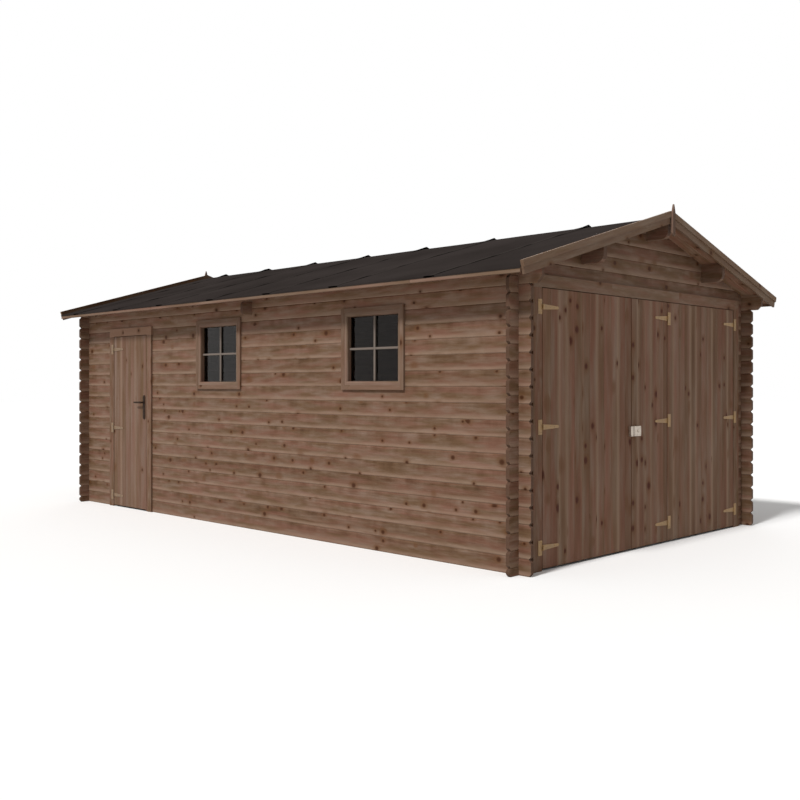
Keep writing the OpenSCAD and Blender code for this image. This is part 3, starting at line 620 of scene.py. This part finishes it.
def metalSkin(name, main, second, worn, metallic, rough, scale, gloss):
    # two tones in soft clouds, brush lines, and specks of wear
    skin = newSkin(name)
    place = addNode("TexCoord")["Object"]
    clouds = noise(place, 3.0, scale=scale)
    brush = noise(addNode("Mapping", {"Vector": place, "Scale": brushing["lines"]})[0])
    specks = noise(place, 5.0, scale=scale * wearing["finer"])
    colour = blendColour(spread(clouds, 0.35, 0.65), main, second)
    colour = blendColour(spread(specks, 0.62, 0.75, 0.0, wearing["share"]), colour, worn)
    roughness = spread(brush, 0.2, 0.8, *(rough + change for change in brushing["rough"]))
    finishSkin(colour, roughness, brush, 0.3, brushing["depth"], gloss, {"Metallic": metallic})
    return skin


def glassSkin():
    skin = newSkin("windowGlass")
    place = addNode("TexCoord")["Object"]
    dust = noise(place, 5.0, scale=glassLook["dust"])
    ripple = noise(place, 1.0, scale=glassLook["ripple"])
    colour = blendColour(dust, glassLook["clear"], glassLook["dusty"])
    roughness = spread(dust, 0.4, 0.8, *glassLook["rough"])
    others = {"Transmission Weight": 1.0, "IOR": glassLook["bend"], "Specular Tint": glassLook["tint"]}
    finishSkin(colour, roughness, ripple, 0.05, glassLook["rippleDepth"], others=others)
    return skin


def wear(skin, solids):
    for name in solids:
        slots = frame["nodes"][name].data.materials
        slots.clear()
        slots.append(skin)
    return skin


skins = {
    "charcoalFelt": wear(feltSkin(), ["roof_felt"]),
    "windowGlass": wear(glassSkin(), ["window_glass"]),
}
for name, (solids, grain, options, changes) in woods.items():
    skins[name] = wear(woodSkin(name, grain, options, **changes), solids)
for name, (solids, *metal) in metals.items():
    skins[name] = wear(metalSkin(name, *metal), solids)
print("finishes made:", len(skins))


# door leaves: boards with chamfered joints on ledges and braces

leaves = {
    # paleRim is the width of the boards' pale edges, painted highlights
    "board": 0.095, "boardThick": 0.02, "boardGap": 0.0004, "chamfer": 0.0016, "paleRim": 0.03,
    "lastBoard": 0.03,  # no board is narrower
    "slack": 0.0012,  # boards are thinner than their place by this, and lie unevenly by up to half of it
    "rise": 0.003,  # closes the gap under the head to 5 mm
    # ledgePale: the ledges' pale edges, painted highlights
    "ledgeHigh": 0.095, "ledgeChamfer": 0.004, "ledgePale": (0.6, 0.6),
    "braceWide": 0.09, "braceChamfer": 0.003,
    "inset": 0.012,  # ledges and braces stop this far from the leaf's edges
    "strapHigh": 0.038,
    "sideMiddle": 0.82,  # height of the side door's middle strap and ledge
}
leafPlan = {
    # piece: start of its solids' names, body, finish, hinge side, width of the first board, and how
    # pale the edges at its joints are, as painted highlights
    "garageLeftBoards": (
        "garage_left", "left_leaf", "doorBoardWood", -1, 0.095,
        {2: 0.9, 3: 0.6, 5: 0.35, 7: 0.8, 10: 1.0}),
    "garageNarrowBoards": (
        "garage_narrow", "narrow_leaf", "doorBoardWood", 1, 0.095, {1: 0.8, 2: 0.5, 3: 0.7, 4: 0.4}),
    "garageRightBoards": (
        "garage_right", "right_leaf", "doorBoardWood", 1, 0.095,
        {1: 0.7, 4: 1.0, 5: 0.8, 8: 1.0, 11: 0.9}),
    "sideDoorBoards": ("side_door", "side_door", "sideDoorWood", 1, 0.0475, {2: 0.8, 5: 0.4}),
}


def strapHeights(stem):
    # the middles of a leaf's straps, which lie on its ledges
    low, high = nodeBox(stem + "_straps")
    first, last = low[2] + leaves["strapHigh"] / 2, high[2] - leaves["strapHigh"] / 2
    return first, leaves["sideMiddle"] if stem == "side_door" else (first + last) / 2, last


def brace(start, end, level, inward, thick, seed):
    # A leaning board with level-cut ends: its profile stays level all the way up.
    a, b, c = leaves["braceWide"] / 2, thick / 2, leaves["braceChamfer"]
    profile = [
        [a, c - b], [a, b - c], [a - c, b], [c - a, b],
        [-a, b - c], [-a, c - b], [c - a, -b], [a - c, -b]]
    return giveTone(carry(profile, np.linspace(start, end, 2), level, inward), seed)


def leafShapes(stem, hingeSide, firstBoard, paleJoints):
    # p runs level along the leaf, and n inwards; on the long wall p is y and n is x
    low, high = nodeBox(stem + "_leaf")
    onSide = stem == "side_door"
    p, n = (1, 0) if onSide else (0, 1)
    level, inward = np.eye(3)[[p, n]]
    thick = leaves["boardThick"]

    def at(along, deep, up):
        return along * level + (low[n] + deep) * inward + up * upwards

    # boards are counted from the left, seen from outside
    shapes = []
    left, toRight = (high[p], -1) if onSide else (low[p], 1)
    width = high[p] - low[p]
    cuts = [0, *np.arange(firstBoard, width - leaves["lastBoard"], leaves["board"]), width]
    for index, (first, last) in enumerate(zip(cuts, cuts[1:])):
        middle = left + toRight * (first + last) / 2
        pale = [paleJoints.get(joint, 0.0) for joint in (index + 1, index)][::toRight]
        depth = thick / 2 + rng.uniform(0, leaves["slack"] / 2)
        foot, top = at(middle, depth, low[2]), at(middle, depth, high[2] + leaves["rise"])
        shapes.append(bar(foot, top, level, last - first - leaves["boardGap"], thick - leaves["slack"],
                          leaves["chamfer"], pale, rim=leaves["paleRim"]))
    ledgeDeep = (thick + high[n] - low[n]) / 2
    ledgeThick = high[n] - low[n] - thick
    inset = leaves["inset"]
    heights = strapHeights(stem)
    for height in heights:
        start, end = at(low[p] + inset, ledgeDeep, height), at(high[p] - inset, ledgeDeep, height)
        shapes.append(bar(start, end, upwards, leaves["ledgeHigh"], ledgeThick, leaves["ledgeChamfer"],
                          leaves["ledgePale"]))
    # braces rise from the hinge side towards the free side
    near, far = (low[p], high[p]) if hingeSide < 0 else (high[p], low[p])
    inset = hingeSide * (inset + leaves["braceWide"] / 2)
    for lower, upper in zip(heights, heights[1:]):
        foot = at(near - inset, ledgeDeep, lower + leaves["ledgeHigh"] / 2)
        top = at(far + inset, ledgeDeep, upper - leaves["ledgeHigh"] / 2)
        shapes.append(brace(foot, top, level, inward, ledgeThick, rng.uniform(0, 1)))
    return shapes


for name, (stem, body, finish, *plan) in leafPlan.items():
    makePiece(name, leafShapes(stem, *plan), body, finish, stem + "_leaf")
print("door leaves made:", len(leafPlan))


# roof boards, felt, eave strips and finials

# the boards' pale edges are painted highlights
roofPlan = {
    "board": 0.096, "boardThick": 0.02, "chamfer": 0.002, "boardGap": 0.0006, "slack": 0.0008,
    "pale": (0.3, 0.3)}


def roofBoardShapes(node, side):
    # boards from ridge to eave, side by side
    low, high = nodeBox(node)
    inner = high[0] if side < 0 else low[0]
    thick = roofPlan["boardThick"]
    slopeDir = np.array([side * slopeLevel, 0, -slopeRise])
    upDir = np.array([side * slopeRise, 0, slopeLevel])
    length = (high[0] - low[0]) / slopeLevel
    # the slope's ends are cut plumb, so the square boards stop short of both
    lean = thick * math.tan(roofSlope)
    edges = np.linspace(low[1], high[1], round((high[1] - low[1]) / roofPlan["board"]) + 1)
    shapes = []
    for first, last in zip(edges, edges[1:]):
        middle = np.array([inner, (first + last) / 2, high[2]]) - upDir * thick / 2
        shapes.append(bar(middle + slopeDir * lean, middle + slopeDir * (length - lean / 4), [0, 1, 0],
                          last - first - roofPlan["boardGap"], thick - roofPlan["slack"],
                          roofPlan["chamfer"], roofPlan["pale"]))
    return shapes


for way, side in (("left", -1), ("right", 1)):
    node = way + "_roof_boards"
    shapes = roofBoardShapes(node, side)
    makePiece(way + "RoofBoarding", shapes, "building", "roofBoardWood", node)

felt = {
    "seams": (-2.38, -1.38, -0.55, 0.26, 1.09, 1.90, 2.73),  # y of each strip's front edge but the first's
    "lap": 0.1, "thick": 0.003, "turnDown": 0.01, "bend": 0.0005, "paleEdge": 0.012,
    "lapRise": 0.0035, "lapFade": 0.16,  # a lapping strip comes down over this length
    "ridgeHump": 0.016, "humpWide": 0.09, "ridgeDrop": 0.004, "ridgeWide": 0.03,
    "wave": 0.0022, "waveDip": 0.001, "smallWave": 0.6,
    "waveTurns": (14.0, 31.0), "waveShift": 2.1,  # radians per metre down the slope, and per strip
    "swell": 0.0012, "swellTurns": (5.1, 3.3),  # the same down the slope and along the roof
    "swellFade": 0.2,  # it dies out over this much before the eave
    "stepsAcross": 60, "stepsAlong": 16,
}
feltLow, feltHigh = nodeBox("roof_felt")


def feltStrip(front, rear, lapped, index):
    # One strip over both roof sides. Height above the boards = thickness + lift towards the lapping
    # front edge + waves along and across + a hump at the ridge next to that edge.
    thick, reach = felt["thick"], feltHigh[0]
    out = reach * np.linspace(0, 1, felt["stepsAcross"] // 2 + 1)
    x = np.concatenate([-out[::-1], out[1:]])
    y = np.linspace(rear, front, felt["stepsAlong"])[:, None]
    nearLap = lapped * (1 - np.clip((y - front) / felt["lapFade"], 0, 1)) ** 2
    fromRidge = np.abs(x)[None]
    wide, narrow = felt["waveTurns"]
    ripple = np.sin(fromRidge * wide + index * felt["waveShift"])
    ripple = ripple + felt["smallWave"] * np.sin(fromRidge * narrow + index)
    wave = felt["wave"] * nearLap * ripple
    hump = felt["ridgeHump"] * nearLap * np.exp(-(fromRidge / felt["humpWide"]) ** 2)
    down, along = felt["swellTurns"]
    swell = felt["swell"] * (1 + np.sin(fromRidge * down + y * along + index))
    swell = swell * np.clip((reach - fromRidge) / felt["swellFade"], 0, 1)
    roundRidge = -felt["ridgeDrop"] * np.exp(-(fromRidge / felt["ridgeWide"]) ** 2)
    lift = felt["lapRise"] * nearLap + np.maximum(wave, -felt["waveDip"]) + hump + swell + roundRidge
    surface = feltHigh[2] - thick - fromRidge * math.tan(roofSlope) + lift
    lower = np.stack(np.broadcast_arrays(x[None], surface), -1)
    upper = lower + [0, thick]
    # the ends turn down over the eave strips
    drop = np.array([0, felt["turnDown"] + thick])
    inwards = np.array([thick, 0])
    footLeft, footRight = upper[:, :1] - drop, upper[:, -1:] - drop
    bendLeft = lower[:, :1] + np.array([thick, -felt["bend"]])
    bendRight = lower[:, -1:] + np.array([-thick, -felt["bend"]])
    # counterclockwise, seen from the front end
    section = np.concatenate([footLeft, footLeft + inwards, bendLeft, lower[:, 1:-1], bendRight,
                              footRight - inwards, footRight, upper[:, ::-1]], 1)
    shape = carry(section, y * [0, 1, 0], [1, 0, 0], upwards)
    shape["edge"] = np.repeat(1.0 * (lapped & (y < front + felt["paleEdge"])), section.shape[1])
    return shape


fronts = (feltLow[1], *felt["seams"])
rears = (*(seam + felt["lap"] for seam in felt["seams"]), feltHigh[1])
strips = [feltStrip(*ends, index > 0, index) for index, ends in enumerate(zip(fronts, rears))]
makePiece("feltStrips", strips, "building", "charcoalFelt", "roof_felt")

# the strips' top edges are painted paler as a highlight, and their lower edges darker as shade
eaves = {"joint": -2.14, "gap": 0.002, "thick": 0.018, "chamfer": 0.002, "pale": (0.9, -0.3)}


def eaveShapes():
    # on each side, two lengths meet at a butt joint
    low, high = nodeBox("eave_strips")
    middle = (low[2] + high[2]) / 2
    shapes = []
    for centre in (low[0] + eaves["thick"] / 2, high[0] - eaves["thick"] / 2):
        for first, last in ((low[1], eaves["joint"]), (eaves["joint"] + eaves["gap"], high[1])):
            shapes.append(bar([centre, first, middle], [centre, last, middle], upwards, high[2] - low[2],
                              eaves["thick"], eaves["chamfer"], eaves["pale"]))
    return shapes


makePiece("eaveBoards", eaveShapes(), "building", "trimWood", "eave_strips")

finial = {
    "half": 0.0195, "spike": 0.064, "taper": 0.85, "thick": 0.014, "rounding": 0.0015, "pale": 0.15,
    "tip": 0.97,  # share of the spike's height where its point is cut off
    "foot": ((0.0, 0.010256), (0.8, 0.9), (1.0, 1.4)),  # the blunt foot, in half widths
}


def finialShape(end):
    # A blunt foot, straight sides and a spike, where half width = half * (1 - t) ^ taper, with t from
    # 0 at the foot of the spike to 1 at its tip.
    low, high = nodeBox("finials")
    half = finial["half"]
    t = np.linspace(0, finial["tip"], 9)
    spike = np.stack([half * (1 - t) ** finial["taper"], high[2] - finial["spike"] * (1 - t)], 1)
    foot = half * np.array(finial["foot"]) + [0, low[2]]
    right = np.concatenate([foot, spike])
    outline = np.concatenate([right, right[:0:-1] * [-1, 1]])
    # its back lies on the barge boards
    back = nodeBox("front_barge_boards")[0][1] if end < 0 else nodeBox("rear_barge_boards")[1][1]
    place = [0.0, back + end * seat, 0.0]
    shape = plate(outline, place, [-end, 0, 0], finial["thick"], finial["rounding"])
    shape["uv"] = shape["points"][np.concatenate(shape["faces"])][:, [2, 0]] + end
    shape["edge"] = finial["pale"]
    return shape


finials = [finialShape(-1), finialShape(1)]
makePiece("finialBoards", finials, "building", "finialWood", "finials")
print("roof made")


# windows: mitred sashes with a cross of glazing bars in front of the glass

windows = {
    "sashWide": 0.03, "moulding": 0.006, "round": 0.003, "grip": 0.007, "glassGap": 0.0006,
    "bar": (0.018, 0.016, 0.003, (0.4, 0.4)),  # width, thickness, chamfer and pale edges, painted highlights
    "bead": ((0, 0), (0.008, 0), (0.008, 0.004), (0.006, 0.007), (0, 0.007)),
    "pale": (0.2, 0.3, 0.2, -0.2, -0.2, 0, 0, 0, 0.4, 0.4, 0),  # along the edges of the sash profile: above 0 painted highlights, below 0 painted shade where the sash turns in towards the glass
    "sashTones": (0.4, 0.7), "beadTone": 0.6, "barTones": (0.6, 0.7),
}


def ringShape(profile, low, high, x):
    # A profile (p inwards from the outer edge, q into the wall) carried round the rectangle from low
    # to high, with the corners mitred by diagonal steps.
    (left, foot), (right, top) = low, high
    corners = [[x, left, foot], [x, right, foot], [x, right, top], [x, left, top]]
    inward = [[0, 1, 1], [0, -1, 1], [0, -1, -1], [0, 1, -1]]
    return carry(profile, corners, inward, [1, 0, 0], closed=True)


def windowShapes():
    sashLow, sashHigh = nodeBox("window_sashes")
    glassLow, glassHigh = nodeBox("window_glass")
    wide, cut, corner = windows["sashWide"], windows["moulding"], windows["round"]
    deep = sashHigh[0] - sashLow[0]
    rebate = glassLow[0] - sashLow[0] - seat
    behind = glassHigh[0] - sashLow[0] + seat
    edge = wide - windows["grip"]  # the glass sits this far in
    profile = [
        [0, 0], [wide - 2 * cut, 0], [wide - cut, cut / 2], [wide, 2 * cut], [wide, rebate], [edge, rebate],
        [edge, behind], [wide, behind], [wide, deep - corner], [wide - corner, deep], [0, deep]]
    sizes = windows["bar"]
    x = glassLow[0] - windows["glassGap"] - sizes[1] / 2
    shapes, bars = [], []
    upright, level = windows["barTones"]
    for low, high in casings.values():
        low, high = low[1:] + casing["board"] + seat, high[1:] - casing["board"] - seat
        ring = ringShape(profile, low, high, sashLow[0])
        ring["tone"] = rng.uniform(*windows["sashTones"])
        ring["edge"] = np.tile(windows["pale"], 4)
        # a bead holds the glass in the sash from inside
        low, high = low + wide, high - wide
        holder = ringShape(windows["bead"], low, high, glassHigh[0] + windows["glassGap"])
        holder["tone"] = windows["beadTone"]
        shapes.extend([ring, holder])
        middle = (low + high) / 2
        bars.append(bar([x, middle[0], low[1]], [x, middle[0], high[1]], [0, 1, 0], *sizes, upright))
        for first, last in ((low[0], middle[0] - sizes[0] / 2), (middle[0] + sizes[0] / 2, high[0])):
            bars.append(bar([x, first, middle[1]], [x, last, middle[1]], upwards, *sizes, level))
    return shapes, bars


sashShapes, barShapes = windowShapes()
makePiece("glazedSashes", sashShapes, "building", "sashWood", "window_sashes")
makePiece("glazingBars", barShapes, "building", "glazingBarWood")
print("windows made")


# hinge screws, lock and handle

screws = {
    "radius": 0.0042, "turns": (0, 1.5),
    "strap": (0.04, 0.088, 0.136),  # from the pin along the strap
    "plate": (-0.016, -0.034),  # from the pin across the plate, away from the leaf
    "plateRows": (0.036, -0.036),
    "iron": 0.0031,  # thickness of straps and plates, with the gap behind
}
screwPlan = {
    # piece: body, finish, hinges whose straps it fixes, and hinges whose plates it fixes
    "leftStrapScrews": ("left_leaf", "yellowZinc", ["left_leaf_hinge"], []),
    "rightStrapScrews": ("right_leaf", "yellowZinc", ["right_leaf_hinge"], ["narrow_leaf_hinge"]),
    "narrowStrapScrews": ("narrow_leaf", "yellowZinc", ["narrow_leaf_hinge"], []),
    "sideStrapScrews": ("side_door", "dullZinc", ["side_door_hinge"], []),
    "plateScrews": (
        "building", "yellowZinc", [], ["left_leaf_hinge", "right_leaf_hinge", "side_door_hinge"]),
}


def hingeScrews(hinge, offsets, rows):
    # at each strap's height, at the offsets from the pin towards the leaf
    stem, deep, level = ("side_door", 0, 1) if hinge == "side_door_hinge" else ("garage_left", 1, 0)
    toLeaf = 1 if hinge == "left_leaf_hinge" else -1
    centre = np.zeros(3)
    centre[deep] = nodeBox(stem + "_leaf")[0][deep] - screws["iron"]
    shapes = []
    for height, offset, row in itertools.product(strapHeights(stem), offsets, rows):
        centre[level] = joints[hinge][level] + toLeaf * offset
        centre[2] = height + row
        turn = rng.uniform(*screws["turns"])
        shapes.append(screwHead(centre, -np.eye(3)[deep], screws["radius"], turn))
    return shapes


for name, (body, finish, straps, plates) in screwPlan.items():
    shapes = [hingeScrews(hinge, screws["strap"], (0,)) for hinge in straps]
    shapes += [hingeScrews(hinge, screws["plate"], screws["plateRows"]) for hinge in plates]
    makePiece(name, sum(shapes, []), body, finish)

lock = {
    "rounding": 0.003, "corner": 0.004,
    "core": 0.012, "coreOut": 0.005, "coreShare": 0.6, "coreRounding": 0.0015,
    "keyWide": 0.0025, "keyHigh": 0.009, "keyCorner": 0.001, "keyDeep": 0.0006, "keyRounding": 0.0002,
    "screw": 0.0035, "screwsAcross": (0.12, 0.88), "screwsUp": (-0.36, 0.36)}


def lockShapes(node, core):
    low, high = nodeBox(node)
    width, deep, height = high - low
    thick = deep - (lock["coreOut"] if core else 0)
    centre = (low + high) / 2 * [1, 0, 1] + [0, high[1], 0]
    across = np.array([1, 0, 0])
    outline = roundedBox(width, height, lock["corner"])
    shapes = [plate(outline, centre, across, thick, lock["rounding"])]
    face = np.array([low[0], high[1] - thick, centre[2]])
    if core:
        middle = face + across * width * lock["coreShare"]
        keyDeep = lock["keyDeep"]
        out = lock["coreOut"] - keyDeep
        shapes.append(plate(disc(lock["core"]), middle, across, out, lock["coreRounding"]))
        keyway = roundedBox(lock["keyWide"], lock["keyHigh"], lock["keyCorner"])
        middle = middle - [0, out, 0]
        shapes.append(plate(keyway, middle, across, keyDeep, lock["keyRounding"]))
    for x, z in itertools.product(lock["screwsAcross"], lock["screwsUp"]):
        spot = face + across * width * x + upwards * height * z
        shapes.append(screwHead(spot, [0, -1, 0], lock["screw"], x * 3))
    return shapes


for name, node, body in (("lockCase", "garage_lock", "narrow_leaf"),
                         ("lockKeep", "garage_lock_keep", "left_leaf")):
    makePiece(name, lockShapes(node, name == "lockCase"), body, "brightSteel", node)

handle = {
    "plate": 0.007, "rounding": 0.003, "flat": 0.0002,
    "rose": 0.0135, "roseOut": 0.005, "roseRounding": 0.002, "roseGap": 0.0004,
    "neck": 0.0085, "grip": 0.0098, "tip": 0.0078, "bend": 0.012, "out": 0.036, "reach": 0.13,
    "keyBelow": 0.092, "keyRing": 0.0075, "keyOut": 0.0024, "keyRounding": 0.001,
    "screw": 0.0038, "screwIn": 0.02, "screwTurn": 0.3}


def leverShape(centre, length, out):
    # A neck straight out of the rose, a quarter bend and a grip along the door: the radius grows from
    # the neck's to the grip's, and closes over the tip like a dome.
    bend, neck, grip, tip = (handle[key] for key in ("bend", "neck", "grip", "tip"))
    straight = np.linspace(0, out - bend, 4)
    turn = np.linspace(0, math.pi / 2, 9)[1:]
    run = np.linspace(bend, length, 10)[1:]
    dome = np.linspace(0, math.pi / 2, 6)[1:]
    level = np.ones(len(run) + len(dome))
    outwards = np.concatenate([straight, out - bend + bend * np.sin(turn), out * level])
    sideways = np.concatenate([0 * straight, bend - bend * np.cos(turn), run, length + tip * np.sin(dome)])
    radius = np.concatenate([np.full(len(straight), neck), np.linspace(neck, grip, len(turn)),
                             np.linspace(grip, tip, len(run)), tip * np.maximum(np.cos(dome), 0.02)])
    lean = np.concatenate([0 * straight, turn, math.pi / 2 * level])
    origins = centre + np.stack([-outwards, sideways, 0 * outwards], 1)
    deep = np.stack([-np.sin(lean), -np.cos(lean), 0 * lean], 1)
    return carry(disc(1.0, 20) * radius[:, None, None], origins, upwards, deep)


def makeHandle():
    low, high = nodeBox("side_handle_plate")
    side = nodeBox("side_door_leaf")[0][0]
    lever = joints["lever_turn"]
    width, height = (high - low)[1:]
    thick = handle["plate"]
    across = [0, -1, 0]
    centre = np.array([side, lever[1], (low[2] + high[2]) / 2])
    outline = roundedBox(width, height, width / 2 - handle["flat"], 10)
    face = np.array([side - thick, lever[1], lever[2]])
    shapes = [plate(outline, centre, across, thick, handle["rounding"]),
              plate(disc(handle["keyRing"]), face - upwards * handle["keyBelow"], across,
                    handle["keyOut"], handle["keyRounding"])]
    for z in (-1, 1):
        spot = centre + [-thick, 0, z * (height / 2 - handle["screwIn"])]
        shapes.append(screwHead(spot, [-1, 0, 0], handle["screw"], handle["screwTurn"]))
    makePiece("handlePlate", shapes, "side_door", "blackIron", "side_handle_plate")
    start = face - [handle["roseGap"], 0, 0]
    rose = plate(disc(handle["rose"]), start, across, handle["roseOut"], handle["roseRounding"])
    grip = leverShape(start, handle["reach"] - handle["tip"], handle["out"])
    makePiece("doorLever", [rose, grip], "lever", "blackIron", "side_lever", smooth=True)


makeHandle()
print("ironwork made")


# camera, floor and light

view = {"place": (-6.792, -6.884, 1.270), "turn": -45.42, "lens": 43.57, "shift": 0.019375}
light = {
    "sun": {"from": (-0.64, -0.065, 0.76), "strength": 2.6, "angle": 8.0},
    "fill": {"from": (0.75, 0.6, 0.1), "strength": 0.5, "angle": 30.0},  # weak, for the unseen sides
    "sky": (0.42, 0.42, 0.42, 1.0), "skySeen": (1.0, 1.0, 1.0, 1.0),
    "floor": (0.62, 0.61, 0.59, 1.0), "floorSeen": (1.0, 0.995, 0.985, 1.0),
    "floorHalf": 60.0, "floorDrop": 0.0004,
}


def makeCamera():
    lens = bpy.data.cameras.new("viewer")
    lens.sensor_width = 36
    lens.lens = view["lens"]
    lens.shift_y = -view["shift"]
    eye = putInScene("viewer", lens)
    eye.location = view["place"]
    eye.rotation_euler = (math.radians(90), 0, math.radians(view["turn"]))
    bpy.context.scene.camera = eye


def seenColour(name):
    # camera, gloss and glass see the pale studio, and other rays get a plain level
    path = addNode("LightPath")
    seen = calc("MAXIMUM", path["Is Camera Ray"], path["Is Glossy Ray"])
    seen = calc("MAXIMUM", seen, path["Is Transmission Ray"])
    return blendColour(seen, light[name], light[name + "Seen"])


def makeFloor():
    half = light["floorHalf"]
    mesh = bpy.data.meshes.new("studioFloor")
    corners = [(-half, -half, 0), (half, -half, 0), (half, half, 0), (-half, half, 0)]
    mesh.from_pydata(corners, [], [(0, 1, 2, 3)])
    skin = newSkin("studioFloorPaint")
    setInputs(skin.node_tree.nodes["Principled BSDF"],
              {"Base Color": seenColour("floor"), "Roughness": 1.0, "Specular IOR Level": 0.0})
    mesh.materials.append(skin)
    ground = putInScene("studioFloor", mesh)
    ground.location = (0, 0, -light["floorDrop"])


def makeLight():
    for name in ("sun", "fill"):
        lamp = bpy.data.lights.new(name + "light", "SUN")
        lamp.energy = light[name]["strength"]
        lamp.angle = math.radians(light[name]["angle"])
        placed = putInScene(name + "light", lamp)
        placed.rotation_euler = Vector(light[name]["from"]).to_track_quat("Z", "Y").to_euler()
    world = openNodes(bpy.data.worlds.new("studio"))
    setInputs(world.node_tree.nodes["Background"], {"Color": seenColour("sky"), "Strength": 1.0})
    bpy.context.scene.world = world


makeCamera()
makeFloor()
makeLight()
bpy.context.scene.view_settings.view_transform = "Standard"
print("studio made")
